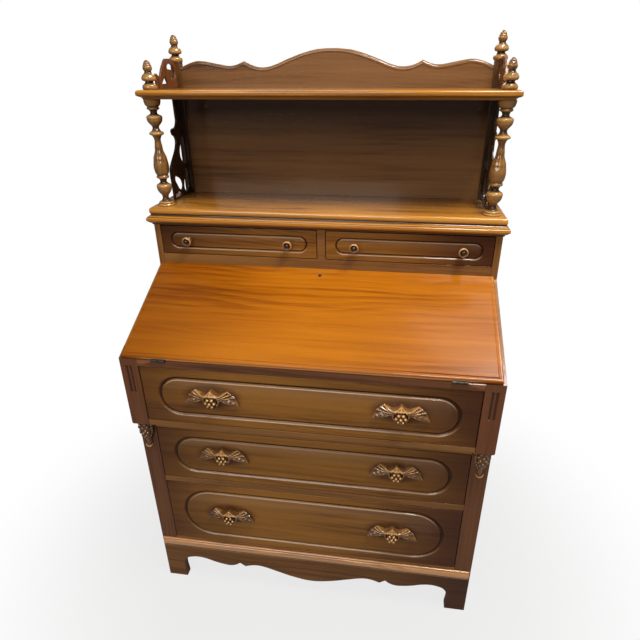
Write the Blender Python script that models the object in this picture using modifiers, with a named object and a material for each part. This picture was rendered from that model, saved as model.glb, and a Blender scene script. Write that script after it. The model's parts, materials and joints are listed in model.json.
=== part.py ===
import math
import bpy
import bmesh
from mathutils import Matrix, Vector

# Clearances, metres
FIT = 0.0003
REVEAL = 0.0015
RUNNING = 0.0010

# Case widths and depths
CASE_WIDTH = 0.842
CASE_DEPTH = 0.470
SIDE_THICK = 0.015
BOARD_THICK = 0.012
BACK_THICK = 0.008
STILE_WIDTH = 0.042
STILE_THICK = 0.022
BLOCK_THICK = 0.0305
UPPER_PROUD = 0.027
FOOT_WIDTH = 0.0535
SIDE_FOOT = 0.060
CORBEL_HEIGHT = 0.0877
FLUTE_LENGTH = 0.0705
FLUTE_SPREAD = 0.0045
FLUTE_R = 0.0033

# Heights from the floor up
APRON_HEIGHT = 0.1277
BASE_MOULDING_HEIGHT = 0.029
BASE_MOULDING_PROUD = 0.0077
BOTTOM_RAIL_HEIGHT = 0.0345
LOW_DRAWER_HEIGHT = 0.1996
RAIL_HEIGHT = 0.0174
MID_DRAWER_HEIGHT = 0.153
STEP_RAIL_HEIGHT = 0.026
STEP_LIP_HEIGHT = 0.0142
TOP_DRAWER_HEIGHT = 0.1458
TOP_RAIL_HEIGHT = 0.0175
TOP_RAIL_THICK = 0.030

# Lid, its hinges, lock and stays
LID_RUN = 0.261
LID_RISE = 0.128
LID_THICK = 0.019
LID_FACE = 0.0097
LID_SIDE_SHOW = 0.008
LID_MOULD_WIDTH = 0.0062
LID_MOULD_DEPTH = 0.0035
HINGE_SET_IN = 0.094
HINGE_LENGTH = 0.032
HINGE_FORWARD = 0.0015
HINGE_LIFT = 0.0005
BARREL_R = 0.0032
PIN_R = 0.0012
LEAF_THICK = 0.0008
LEAF_REACH = 0.0185
LOCK_WIDTH = 0.060
LOCK_HEIGHT = 0.044
LOCK_THICK = 0.0087
BOLT_WIDTH = 0.016
BOLT_THICK = 0.005
BOLT_LENGTH = 0.024
BOLT_THROW = 0.012
KEYHOLE_DROP = 0.027
NOZZLE_R = 0.0042
STAY_PIVOT_U = 0.100
STAY_PIVOT_BACK = 0.008
STAY_GUIDE = 0.104
STAY_HEAD = 0.0018
STAY_TILT = math.radians(6.0)
STAY_WIDTH = 0.011
STAY_THICK = 0.003
STAY_SLOT = 0.005
STAY_STUD_R = 0.0022

# Upper case
DECK_RAIL_HEIGHT = 0.018
DECK_RAIL_THICK = 0.018
DECK_LIP_HEIGHT = 0.029
DECK_EDGE_DROP = 0.0075
DIVIDER_THICK = 0.020
SMALL_DRAWER_HEIGHT = 0.070
TOP_CLEARANCE = 0.0032
DESK_TOP_THICK = 0.041
CORNICE_OUT = 0.012

# Gallery
POST_HEIGHT = 0.2414
POST_R = 0.0202
POST_SET_IN = 0.0275
POST_SET_BACK = 0.030
REAR_POST_SIZE = 0.024
REAR_POST_SET_IN = 0.029
REAR_POST_RISE = 0.0577
SHELF_THICK = 0.019
SHELF_SET_IN = 0.0025
SHELF_SET_BACK = 0.0016
CREST_RISE = 0.0863
FINIAL_HEIGHT = 0.0603
FINIAL_R = 0.0166
GALLERY_THICK = 0.012
FRET_THICK = 0.005

# Drawers
FRONT_THICK = 0.020
DRAWER_SETBACK = 0.002
BOX_WALL = 0.012
BOX_BOTTOM = 0.006
BOX_SIDE_CLEAR = 0.007
BOX_BACK_CLEAR = 0.020
BOX_DROP = 0.014
BOX_LIFT = 0.0005
GROOVE_R = 0.0045
GROOVE_MARGIN = 0.0250
GROOVE_END = 0.0395
PULL_SET_IN = 0.1655
PULL_UP = 0.010
PULL_PROUD = 0.024
KNOB_PROUD = 0.021
KNOB_R = 0.0115
KNOB_END = 0.0695

# Levels that follow from the sizes above
HALF = CASE_WIDTH / 2
SIDE_IN = HALF - SIDE_THICK
BOARD_HALF = SIDE_IN - FIT
STILE_IN = HALF - STILE_WIDTH
HINGE_X = HALF - HINGE_SET_IN
PULL_X = STILE_IN - REVEAL - PULL_SET_IN
NOTCH_HALF = STILE_IN - FIT
FRONT_LOW = UPPER_PROUD
STILE_BACK = FRONT_LOW + STILE_THICK
BACK_FACE = CASE_DEPTH - 0.001 - BACK_THICK
BOARD_BACK = BACK_FACE - FIT
BLOCK_FACE = -(CASE_DEPTH - (PULL_PROUD - DRAWER_SETBACK + FIT)) / 2
Z_BOTTOM_RAIL = APRON_HEIGHT + FIT
Z_FLOOR_3 = Z_BOTTOM_RAIL + BOTTOM_RAIL_HEIGHT
Z_RAIL_2 = Z_FLOOR_3 + REVEAL + LOW_DRAWER_HEIGHT + REVEAL
Z_FLOOR_2 = Z_RAIL_2 + RAIL_HEIGHT
Z_RAIL_1 = Z_FLOOR_2 + REVEAL + MID_DRAWER_HEIGHT + REVEAL
Z_STEP = Z_RAIL_1 + STEP_RAIL_HEIGHT
Z_FLOOR_1 = Z_STEP + STEP_LIP_HEIGHT
Z_TOP_RAIL = Z_FLOOR_1 + REVEAL + TOP_DRAWER_HEIGHT + REVEAL
Z_BED_EDGE = Z_TOP_RAIL + TOP_RAIL_HEIGHT

# The lid's frame: u runs up the slope from the hinge axis, n is its outward normal
SLOPE = math.atan2(LID_RISE, LID_RUN)
SIN, COS = math.sin(SLOPE), math.cos(SLOPE)
HINGE_Y = -HINGE_FORWARD
HINGE_Z = Z_BED_EDGE + HINGE_LIFT
LID_INNER = LID_FACE - LID_THICK
LID_SHOULDER = -0.0002
SIDE_EDGE = LID_SHOULDER - 0.0005
LID_FRAME = Matrix(((1, 0, 0, 0), (0, COS, -SIN, HINGE_Y), (0, SIN, COS, HINGE_Z), (0, 0, 0, 1)))


def slope_z(y, n):
    return HINGE_Z + (n + (y - HINGE_Y) * SIN) / COS


def lid_low(n):
    if n < LID_SHOULDER:
        return (HINGE_LIFT - n * COS) / SIN
    return (HINGE_FORWARD + n * SIN) / COS


def lid_high(n):
    return (LID_RUN + HINGE_FORWARD + n * SIN) / COS


SMALL_FRONT = LID_RUN + RUNNING
Z_DECK_RAIL = slope_z(LID_RUN, LID_FACE) + 0.002
Z_DECK = Z_DECK_RAIL + DECK_RAIL_HEIGHT
Z_CASE_TOP = Z_DECK + REVEAL + SMALL_DRAWER_HEIGHT + TOP_CLEARANCE
Z_DESK_TOP = Z_CASE_TOP + FIT + DESK_TOP_THICK
Z_SHELF = Z_DESK_TOP + FIT + POST_HEIGHT + FIT
Z_SHELF_TOP = Z_SHELF + SHELF_THICK
Z_REAR_TOP = Z_SHELF_TOP + REAR_POST_RISE
POST_X = HALF - POST_SET_IN
POST_Y = SMALL_FRONT + POST_SET_BACK
REAR_X = HALF - REAR_POST_SET_IN
REAR_Y = CASE_DEPTH - FINIAL_R
REAR_FACE = REAR_Y - REAR_POST_SIZE / 2
GALLERY_HALF = REAR_X - REAR_POST_SIZE / 2 - FIT
GALLERY_FACE = REAR_Y - GALLERY_THICK / 2

for old in list(bpy.data.objects):
    bpy.data.objects.remove(old, do_unlink=True)
parts = bpy.data.collections.new("drop_front_desk")
cutters = bpy.data.collections.new("cutters")
bpy.context.scene.collection.children.link(parts)
bpy.context.scene.collection.children.link(cutters)


def make_material(name, colour, roughness, metallic):
    mat = bpy.data.materials.new(name)
    mat.use_nodes = True
    shader = mat.node_tree.nodes["Principled BSDF"]
    shader.inputs["Base Color"].default_value = (*colour, 1)
    shader.inputs["Roughness"].default_value = roughness
    shader.inputs["Metallic"].default_value = metallic
    return mat


WALNUT = make_material("walnut", (0.23, 0.10, 0.045), 0.42, 0.0)
WALNUT_LID = make_material("walnut_lid", (0.36, 0.16, 0.06), 0.38, 0.0)
WALNUT_DARK = make_material("walnut_dark", (0.14, 0.06, 0.03), 0.45, 0.0)
PINE = make_material("pine", (0.55, 0.38, 0.21), 0.60, 0.0)
STEEL = make_material("steel", (0.55, 0.54, 0.52), 0.35, 1.0)


# Shapes: meshes are in desk coordinates, with Y measured from the front of the blocks
def to_mesh(bm, name):
    bmesh.ops.recalc_face_normals(bm, faces=bm.faces)
    mesh = bpy.data.meshes.new(name)
    bm.to_mesh(mesh)
    bm.free()
    return mesh


def box_mesh(low, high, frame=None):
    bm = bmesh.new()
    bmesh.ops.create_cube(bm, size=1)
    bmesh.ops.scale(bm, vec=[b - a for a, b in zip(low, high)], verts=bm.verts)
    bmesh.ops.translate(bm, vec=[(a + b) / 2 for a, b in zip(low, high)], verts=bm.verts)
    if frame:
        bmesh.ops.transform(bm, matrix=frame, verts=bm.verts)
    return to_mesh(bm, "box")


def side_box(side, x0, x1, low, high, frame=None):
    a, b = sorted((side * x0, side * x1))
    return box_mesh((a, *low), (b, *high), frame)


def rod_mesh(start, end, radius, frame=None, segments=16):
    axis = [b - a for a, b in zip(start, end)]
    length = math.sqrt(sum(c * c for c in axis))
    bm = bmesh.new()
    bmesh.ops.create_cone(bm, cap_ends=True, segments=segments, radius1=radius, radius2=radius, depth=length)
    turn = Matrix.Rotation(math.pi / 2, 4, "Y") if abs(axis[0]) > 0.5 * length else Matrix.Identity(4)
    turn = Matrix.Rotation(math.pi / 2, 4, "X") if abs(axis[1]) > 0.5 * length else turn
    place = Matrix.Translation([(a + b) / 2 for a, b in zip(start, end)]) @ turn
    bmesh.ops.transform(bm, matrix=(frame @ place) if frame else place, verts=bm.verts)
    return to_mesh(bm, "rod")


PLANES = {
    "XZ": Matrix(((1, 0, 0, 0), (0, 0, -1, 0), (0, 1, 0, 0), (0, 0, 0, 1))),
    "YZ": Matrix(((0, 0, 1, 0), (1, 0, 0, 0), (0, 1, 0, 0), (0, 0, 0, 1))),
}


# A plate from closed outlines of (a, b, corner); depth is measured across its plane
def plate_mesh(outlines, plane, depth0, depth1, resolution=4, frame=None):
    curve = bpy.data.curves.new("outline", "CURVE")
    curve.dimensions = "2D"
    curve.fill_mode = "BOTH"
    curve.extrude = abs(depth1 - depth0) / 2
    curve.resolution_u = resolution
    for outline in outlines:
        spline = curve.splines.new("BEZIER")
        spline.bezier_points.add(len(outline) - 1)
        for knot, (a, b, corner) in zip(spline.bezier_points, outline):
            knot.co = (a, b, 0)
            knot.handle_left_type = knot.handle_right_type = "VECTOR" if corner else "AUTO"
        spline.use_cyclic_u = True
        spline.resolution_u = resolution
    holder = bpy.data.objects.new("outline", curve)
    cutters.objects.link(holder)
    bpy.context.view_layer.update()
    solid = holder.evaluated_get(bpy.context.evaluated_depsgraph_get())
    mesh = bpy.data.meshes.new_from_object(solid)
    bpy.data.objects.remove(holder, do_unlink=True)
    bm = bmesh.new()
    bm.from_mesh(mesh)
    bmesh.ops.remove_doubles(bm, verts=bm.verts, dist=0.00001)
    middle = (depth0 + depth1) / 2
    shift = (0, middle, 0) if plane == "XZ" else (middle, 0, 0)
    place = Matrix.Translation(shift) @ PLANES[plane]
    bmesh.ops.transform(bm, matrix=(frame @ place) if frame else place, verts=bm.verts)
    bpy.data.meshes.remove(mesh)
    return to_mesh(bm, "plate")


def corners(points):
    return [(a, b, True) for a, b in points]


# A slab through rings of four corners, one ring for each step of its moulded edge
def loft_mesh(rings, frame=None):
    bm = bmesh.new()
    loops = [[bm.verts.new(point) for point in ring] for ring in rings]
    bm.faces.new(reversed(loops[0]))
    bm.faces.new(loops[-1])
    for low, high in zip(loops, loops[1:]):
        for i in range(len(low)):
            j = (i + 1) % len(low)
            bm.faces.new((low[i], low[j], high[j], high[i]))
    if frame:
        bmesh.ops.transform(bm, matrix=frame, verts=bm.verts)
    return to_mesh(bm, "slab")


def ring(half, y0, y1, z):
    return [(-half, y0, z), (half, y0, z), (half, y1, z), (-half, y1, z)]


# A stadium-shaped round groove on a front face, made as a swept ring
def groove_mesh(x0, x1, z0, z1, face):
    radius = (z1 - z0) / 2
    middle = (z0 + z1) / 2
    steps = 8
    path = []
    for centre, start in ((x1 - radius, -math.pi / 2), (x0 + radius, math.pi / 2)):
        for i in range(steps + 1):
            angle = start + math.pi * i / steps
            path.append((centre + radius * math.cos(angle), middle + radius * math.sin(angle)))
    curve = bpy.data.curves.new("groove", "CURVE")
    curve.dimensions = "3D"
    curve.bevel_depth = GROOVE_R
    curve.bevel_resolution = 1
    spline = curve.splines.new("POLY")
    spline.points.add(len(path) - 1)
    for point, (x, z) in zip(spline.points, path):
        point.co = (x, face, z, 1)
    spline.use_cyclic_u = True
    holder = bpy.data.objects.new("groove", curve)
    cutters.objects.link(holder)
    bpy.context.view_layer.update()
    solid = holder.evaluated_get(bpy.context.evaluated_depsgraph_get())
    mesh = bpy.data.meshes.new_from_object(solid)
    bpy.data.objects.remove(holder, do_unlink=True)
    bm = bmesh.new()
    bm.from_mesh(mesh)
    bmesh.ops.remove_doubles(bm, verts=bm.verts, dist=0.00001)
    bpy.data.meshes.remove(mesh)
    return to_mesh(bm, "groove")


def joined_mesh(meshes):
    bm = bmesh.new()
    for mesh in meshes:
        bm.from_mesh(mesh)
    return to_mesh(bm, "joined")


def node(name, mesh, mat, at=(0, 0, 0)):
    obj = bpy.data.objects.new(name, mesh)
    parts.objects.link(obj)
    obj.location = (at[0], at[1] + BLOCK_FACE, at[2])
    if not mesh.materials:
        mesh.materials.append(mat)
    return obj


def combine(obj, mesh, operation="DIFFERENCE", overlapping=False):
    tool = bpy.data.objects.new(obj.name + "_tool", mesh)
    cutters.objects.link(tool)
    tool.location = (0, BLOCK_FACE, 0)
    tool.hide_render = True
    tool.display_type = "WIRE"
    step = obj.modifiers.new(operation.title(), "BOOLEAN")
    step.operation = operation
    step.solver = "EXACT"
    step.use_self = overlapping
    step.object = tool
    return tool


def join(obj, mesh):
    return combine(obj, mesh, "UNION")


def smooth(mesh):
    for face in mesh.polygons:
        face.use_smooth = True
    mesh.set_sharp_from_angle(angle=math.radians(35))


# Swells and necks of a turned piece, (height, radius), joined by easing curves
def turned_profile(turns, height, radius):
    rise = height / turns[-1][0]
    swell = radius / max(r for _, r in turns)
    points = [(0, 0)]
    for (z0, r0), (z1, r1) in zip(turns, turns[1:]):
        steps = 1 if z1 - z0 < 3.6 else 2 if z1 - z0 < 10 else 3 if z1 - z0 < 20 else 5
        for i in range(steps):
            ease = (1 - math.cos(math.pi * i / steps)) / 2
            points.append((r0 + (r1 - r0) * ease, z0 + (z1 - z0) * i / steps))
    points.append((turns[-1][1], turns[-1][0]))
    if turns[-1][1] > 0:
        points.append((0, turns[-1][0]))
    return [(r * swell, z * rise) for r, z in points]


def turned(name, profile, mat, at, segments=12):
    mesh = bpy.data.meshes.new(name)
    down = list(reversed(profile))
    mesh.from_pydata([(r, 0, z) for r, z in down], [(i, i + 1) for i in range(len(down) - 1)], [])
    obj = node(name, mesh, mat, at)
    spin = obj.modifiers.new("Turn", "SCREW")
    spin.steps = spin.render_steps = segments
    spin.use_merge_vertices = True
    spin.merge_threshold = 0.00005
    spin.use_smooth_shade = True
    return obj


# Turnings drawn at full size in millimetres, and scaled to the piece
POST_TURNS = [
    (0, 20.0), (3.5, 20.2), (6.5, 16.0), (9.5, 17.2), (22, 7.3), (46.5, 18.0), (58, 7.3), (68.5, 14.7),
    (74, 13.2), (93, 18.0), (153, 7.2), (168, 16.8), (181, 7.4), (198.5, 18.1), (213, 7.3), (222, 15.0),
    (225.5, 14.6), (242, 19.0),
]
FINIAL_TURNS = [
    (0, 16.5), (3, 16.6), (16.5, 8.5), (23.5, 16.0), (37.7, 7.3), (44.7, 10.4), (48.5, 8.3), (52, 8.1),
    (57.5, 5.4), (60.3, 0),
]
KNOB_TURNS = [(0, 8.5), (2, 8.5), (7, 5.8), (14.5, 11.5), (18.5, 9.5), (21, 0)]

SIDES = (("left", -1), ("right", 1))


# Case boards: a board with a deeper front rail, notched around the stiles or blocks
def rail_board(name, profile, notch_back):
    obj = node(name, plate_mesh([corners(profile)], "YZ", -BOARD_HALF, BOARD_HALF, 1), WALNUT)
    for _, side in SIDES:
        combine(obj, side_box(side, NOTCH_HALF, HALF + 0.1, (-0.1, -0.1), (notch_back, 2)))
    return obj


rail_board("bottom_board", [
    (FRONT_LOW + FIT, Z_BOTTOM_RAIL), (FRONT_LOW + FIT, Z_FLOOR_3), (BOARD_BACK, Z_FLOOR_3),
    (BOARD_BACK, Z_FLOOR_3 - BOARD_THICK), (STILE_BACK, Z_FLOOR_3 - BOARD_THICK), (STILE_BACK, Z_BOTTOM_RAIL),
], STILE_BACK + FIT)
rail_board("rail_2", [
    (FRONT_LOW + FIT, Z_RAIL_2), (FRONT_LOW + FIT, Z_FLOOR_2), (BOARD_BACK, Z_FLOOR_2),
    (BOARD_BACK, Z_FLOOR_2 - BOARD_THICK), (STILE_BACK, Z_FLOOR_2 - BOARD_THICK), (STILE_BACK, Z_RAIL_2),
], STILE_BACK + FIT)
rail_board("rail_1", [
    (DRAWER_SETBACK, Z_STEP), (DRAWER_SETBACK, Z_FLOOR_1), (BOARD_BACK, Z_FLOOR_1),
    (BOARD_BACK, Z_FLOOR_1 - BOARD_THICK), (STILE_BACK, Z_FLOOR_1 - BOARD_THICK), (STILE_BACK, Z_RAIL_1),
    (FRONT_LOW + FIT, Z_RAIL_1), (FRONT_LOW + FIT, Z_STEP),
], STILE_BACK + FIT)
Z_BED = slope_z(TOP_RAIL_THICK + 0.0105, LID_INNER) - RUNNING
bed = rail_board("writing_bed", [
    (0, Z_TOP_RAIL), (0, Z_BED_EDGE), (TOP_RAIL_THICK - 0.0035, Z_BED_EDGE), (TOP_RAIL_THICK + 0.0105, Z_BED),
    (BOARD_BACK, Z_BED), (BOARD_BACK, Z_BED - BOARD_THICK), (TOP_RAIL_THICK, Z_BED - BOARD_THICK),
    (TOP_RAIL_THICK, Z_TOP_RAIL),
], BLOCK_THICK + FIT)

# Sides with a bracket-footed lower edge and a sloping front above the bed
arch0 = STILE_BACK + FIT + SIDE_FOOT
arch1 = CASE_DEPTH - SIDE_FOOT
side_outline = corners([
    (STILE_BACK + FIT, 0), (STILE_BACK + FIT, Z_STEP - FIT), (BLOCK_THICK + FIT, Z_STEP - FIT),
    (BLOCK_THICK + FIT, slope_z(BLOCK_THICK + FIT, SIDE_EDGE)),
    (SMALL_FRONT, slope_z(SMALL_FRONT, SIDE_EDGE)),
    (SMALL_FRONT, Z_CASE_TOP), (CASE_DEPTH, Z_CASE_TOP), (CASE_DEPTH, 0), (arch1, 0),
]) + [
    (arch1 - 0.001, 0.060, False), (arch1 - 0.016, 0.079, False), (arch1 - 0.050, 0.085, False),
    ((arch0 + arch1) / 2, 0.066, False), (arch0 + 0.050, 0.085, False), (arch0 + 0.016, 0.079, False),
    (arch0 + 0.001, 0.060, False), (arch0, 0, True),
]
for label, side in SIDES:
    node("side_" + label, plate_mesh([side_outline], "YZ", side * SIDE_IN, side * HALF), WALNUT)

node("case_back", box_mesh((-BOARD_HALF, BACK_FACE, Z_BOTTOM_RAIL),
                           (BOARD_HALF, BACK_FACE + BACK_THICK, Z_CASE_TOP)), PINE)

# Stiles, fluted blocks and scrolled corbels at the front corners
CORBEL = [
    (0.3, 17, 20), (6, 18.5, 24), (14, 19.3, 26), (26, 19.5, 26.2), (38, 18, 25), (50, 14.5, 20.5),
    (58, 11.5, 15.5), (64, 10, 12.5), (70, 10.5, 13.5), (78, 11, 14.5), (84, 9, 12), (87.7, 4, 6),
]
corbel_back = FRONT_LOW - FIT
corbel_deep = corbel_back / 26.7
corbel_wide = STILE_WIDTH / 42
corbel_tall = CORBEL_HEIGHT / 87.7
corbel_turn = [math.pi * i / 8 for i in range(9)]
for label, side in SIDES:
    node("stile_" + label, side_box(side, STILE_IN, HALF, (FRONT_LOW, Z_BOTTOM_RAIL),
                                    (STILE_BACK, Z_STEP - FIT)), WALNUT_DARK)
    profile = corners([(0, Z_STEP), (0, slope_z(0, SIDE_EDGE)),
                       (BLOCK_THICK, slope_z(BLOCK_THICK, SIDE_EDGE)), (BLOCK_THICK, Z_STEP)])
    block = node("block_" + label, plate_mesh([profile], "YZ", side * STILE_IN, side * HALF, 1), WALNUT_DARK)
    combine(block, side_box(side, 0, SIDE_IN + FIT, (-0.1, Z_BED_EDGE), (0.1, 2)))
    for offset in (-FLUTE_SPREAD, FLUTE_SPREAD):
        flute_x = side * (HALF - STILE_WIDTH / 2 + 0.001) + offset
        flute_low = (flute_x, -0.0005, Z_TOP_RAIL - FLUTE_LENGTH)
        combine(block, rod_mesh(flute_low, (flute_x, -0.0005, Z_TOP_RAIL), FLUTE_R, None, 10))
    middle = HALF - STILE_WIDTH / 2
    rings = []
    for down, wide, deep in CORBEL:
        rings.append([(side * middle + wide * corbel_wide * math.cos(a),
                       corbel_back - deep * corbel_deep * math.sin(a),
                       Z_STEP - down * corbel_tall) for a in corbel_turn])
    node("corbel_" + label, loft_mesh(rings), WALNUT_DARK)

# Base moulding of two beads, and the scrolled apron with its feet
mould_back = FRONT_LOW - FIT
mould_z = Z_BOTTOM_RAIL - 0.001
mould_front = mould_back - BASE_MOULDING_PROUD
mould_h = BASE_MOULDING_HEIGHT
BEADS = [
    (0.0030, 0, True), (0, 0.22, False), (0.0030, 0.44, True), (0.0046, 0.50, True), (0.0018, 0.68, False),
    (0.0046, 0.86, True), (BASE_MOULDING_PROUD - 0.0008, 1, True),
]
mould = [(mould_back, mould_z, True)]
mould += [(mould_front + back, mould_z + up * mould_h, corner) for back, up, corner in BEADS]
mould += [(mould_back, mould_z + mould_h, True)]
node("base_moulding", plate_mesh([mould], "YZ", -(HALF - 0.003), HALF - 0.003), WALNUT_DARK)

APRON_EDGE = [
    (0, 42.5, 0), (50, 50, 0), (100, 65.5, 0), (130, 75, 0), (150, 78.3, 0), (168, 76, 0), (188, 69, 1),
    (203, 80, 1), (215, 71, 0), (232, 66, 0), (250, 67.5, 0), (275, 73, 0), (300, 81.5, 0), (325, 85, 0),
    (342, 82.5, 0), (356, 77, 0),
]
foot_in = HALF - FOOT_WIDTH
apron_sx = foot_in / 367.5
apron_sz = APRON_HEIGHT / 127.7
right_edge = [(x * apron_sx, z * apron_sz, bool(c)) for x, z, c in APRON_EDGE]
right_edge += [(foot_in - 0.001, 0.062 * apron_sz * 1000, False), (foot_in, 0, True)]
apron = [(-x, z, c) for x, z, c in reversed(right_edge)] + right_edge[1:]
apron += corners([(HALF, 0), (HALF, APRON_HEIGHT), (-HALF, APRON_HEIGHT), (-HALF, 0)])
node("apron_front", plate_mesh([apron], "XZ", FRONT_LOW, STILE_BACK, 3), WALNUT)

# Deck under the small drawers with its front rail, lock lip and centre divider
deck_front = SMALL_FRONT + 0.0005
deck_low = Z_DECK_RAIL - DECK_EDGE_DROP
deck = node("small_drawer_deck", plate_mesh([corners([
    (deck_front, deck_low), (deck_front, Z_DECK), (BOARD_BACK, Z_DECK), (BOARD_BACK, Z_DECK - BOARD_THICK),
    (deck_front + DECK_RAIL_THICK, Z_DECK - BOARD_THICK), (deck_front + DECK_RAIL_THICK, deck_low),
])], "YZ", -BOARD_HALF, BOARD_HALF, 1), WALNUT)
lip_half = SIDE_IN - 0.046
join(deck, box_mesh((-lip_half, deck_front, Z_DECK_RAIL - DECK_LIP_HEIGHT),
                    (lip_half, deck_front + DECK_RAIL_THICK, Z_DECK_RAIL + 0.004)))
join(deck, box_mesh((-DIVIDER_THICK / 2, deck_front, Z_DECK - 0.004),
                    (DIVIDER_THICK / 2, BOARD_BACK, Z_CASE_TOP)))

# Lid: a lipped slab with a moulded edge, built flat in its own frame and set on the slope
lid_lip = HALF - LID_SIDE_SHOW
lid_panel = SIDE_IN - RUNNING


def lid_ring(half, n, inset=0.0):
    return ring(half - inset, lid_low(n) + inset, lid_high(n) - inset, n)


edge = LID_FACE - LID_MOULD_DEPTH
rings = [lid_ring(lid_panel, LID_INNER), lid_ring(lid_panel, LID_SHOULDER - 0.00001, 0.0004)]
rings.append(lid_ring(lid_lip, LID_SHOULDER))
for step in range(5):
    turn = math.pi / 2 * step / 4
    inset = LID_MOULD_WIDTH * (1 - math.cos(turn))
    rings.append(lid_ring(lid_lip, edge + 0.7 * LID_MOULD_DEPTH * math.sin(turn), inset))
rings.append(lid_ring(lid_lip, LID_FACE, LID_MOULD_WIDTH + 0.0003))
lid = node("lid", loft_mesh(rings, LID_FRAME), WALNUT_LID)

# Lock: case and key nozzle in a mortise of the lid, and its bolt; a pocket in the deck's lip takes the bolt
lock_top = lid_high(LID_INNER) - FIT
lock_low = lock_top - LOCK_HEIGHT
lock_back = LID_INNER
lock_face = lock_back + LOCK_THICK
bolt_n = lock_back + 0.0043
key_u = lid_high(LID_FACE) - KEYHOLE_DROP
combine(lid, box_mesh((-LOCK_WIDTH / 2 - FIT, lock_low - FIT, lock_back - 0.01),
                      (LOCK_WIDTH / 2 + FIT, lock_top + 0.05, lock_face + FIT), LID_FRAME))
combine(lid, rod_mesh((0, key_u, lock_face - 0.004), (0, key_u, LID_FACE + 0.01), NOZZLE_R + FIT, LID_FRAME))
lock = node("lock_case", box_mesh((-LOCK_WIDTH / 2, lock_low, lock_back),
                                  (LOCK_WIDTH / 2, lock_top, lock_face), LID_FRAME), STEEL)
join(lock, rod_mesh((0, key_u, lock_face - 0.001), (0, key_u, LID_FACE + 0.0005), NOZZLE_R, LID_FRAME))
bolt_top = lock_top - FIT
channel = RUNNING / 3
bolt_side = BOLT_WIDTH / 2
bolt_deep = BOLT_THICK / 2
combine(lock, box_mesh(
    (-bolt_side - channel, bolt_top - BOLT_LENGTH - RUNNING, bolt_n - bolt_deep - channel),
    (bolt_side + channel, lock_top + 0.01, bolt_n + bolt_deep + channel), LID_FRAME))
combine(lock, rod_mesh((0, key_u + 0.0013, LID_FACE - 0.004), (0, key_u + 0.0013, LID_FACE + 0.01), 0.0013,
                       LID_FRAME, 10))
combine(lock, box_mesh((-0.0006, key_u - 0.0028, LID_FACE - 0.004), (0.0006, key_u + 0.0013, LID_FACE + 0.01),
                       LID_FRAME))
bolt = node("lock_bolt", box_mesh((-bolt_side, bolt_top - BOLT_LENGTH, bolt_n - bolt_deep),
                                  (bolt_side, bolt_top, bolt_n + bolt_deep), LID_FRAME), STEEL)
pocket_z = HINGE_Z + (bolt_top + BOLT_THROW / 2) * SIN + bolt_n * COS
combine(deck, box_mesh((-bolt_side - 0.003, deck_front - 0.01, pocket_z - 0.010),
                       (bolt_side + 0.003, deck_front + BOLT_THROW, pocket_z + 0.010)))

# Butt hinges: the case leaf has the end knuckles and pin, the lid leaf the middle knuckle
knuckle = HINGE_LENGTH * 0.31
leaf_start = BARREL_R - HINGE_FORWARD + 0.0005
lid_leaves = []
for label, side in SIDES:
    x0 = side * HINGE_X - HINGE_LENGTH / 2
    x1 = x0 + HINGE_LENGTH
    relief = rod_mesh((x0 - RUNNING / 2, HINGE_Y, HINGE_Z), (x1 + RUNNING / 2, HINGE_Y, HINGE_Z),
                      BARREL_R + RUNNING)
    for obj in (lid, bed):
        combine(obj, relief)
    case_low = Z_BED_EDGE - LEAF_THICK - FIT / 2
    lid_leaf_low = Z_BED_EDGE + 2 * HINGE_LIFT + FIT
    combine(bed, box_mesh((x0 - FIT, -0.01, case_low - FIT), (x1 + FIT, LEAF_REACH + FIT, Z_BED_EDGE + 0.01)))
    combine(lid, box_mesh((x0 - FIT, -0.01, HINGE_Z - 0.001),
                          (x1 + FIT, LEAF_REACH + FIT, lid_leaf_low + LEAF_THICK + FIT)))
    case_leaf = node("hinge_case_leaf_" + label, box_mesh((x0, leaf_start, case_low),
                                                          (x1, LEAF_REACH, case_low + LEAF_THICK)), STEEL)
    lid_leaf = node("hinge_lid_leaf_" + label, box_mesh((x0, leaf_start, lid_leaf_low),
                                                        (x1, LEAF_REACH, lid_leaf_low + LEAF_THICK)), STEEL)
    for a, b in ((x0, x0 + knuckle), (x1 - knuckle, x1)):
        join(case_leaf, box_mesh((a, HINGE_Y, case_low), (b, leaf_start + 0.002, case_low + LEAF_THICK)))
        join(case_leaf, rod_mesh((a, HINGE_Y, HINGE_Z), (b, HINGE_Y, HINGE_Z), BARREL_R))
    join(case_leaf, rod_mesh((x0 + 0.001, HINGE_Y, HINGE_Z), (x1 - 0.001, HINGE_Y, HINGE_Z), PIN_R))
    a, b = x0 + knuckle + FIT, x1 - knuckle - FIT
    join(lid_leaf, box_mesh((a, HINGE_Y, lid_leaf_low), (b, leaf_start + 0.002, lid_leaf_low + LEAF_THICK)))
    join(lid_leaf, rod_mesh((a, HINGE_Y, HINGE_Z), (b, HINGE_Y, HINGE_Z), BARREL_R))
    combine(lid_leaf, rod_mesh((a - 0.01, HINGE_Y, HINGE_Z), (b + 0.01, HINGE_Y, HINGE_Z), PIN_R + FIT))
    lid_leaves.append(lid_leaf)

# Lid stays: a bracket with a pivot stud on the lid, a slotted arm, and a guide stud on the case side
stay_x = SIDE_IN - 0.016
pivot_n = LID_INNER - STAY_PIVOT_BACK
pivot_y = HINGE_Y + STAY_PIVOT_U * COS - pivot_n * SIN
pivot_z = HINGE_Z + STAY_PIVOT_U * SIN + pivot_n * COS
stay_length = BOARD_BACK - pivot_y - 0.040
slot0, slot1 = STAY_GUIDE - 0.006, stay_length - 0.014
stay_frame = Matrix.Translation((0, pivot_y, pivot_z)) @ Matrix.Rotation(STAY_TILT, 4, "X")


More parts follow.
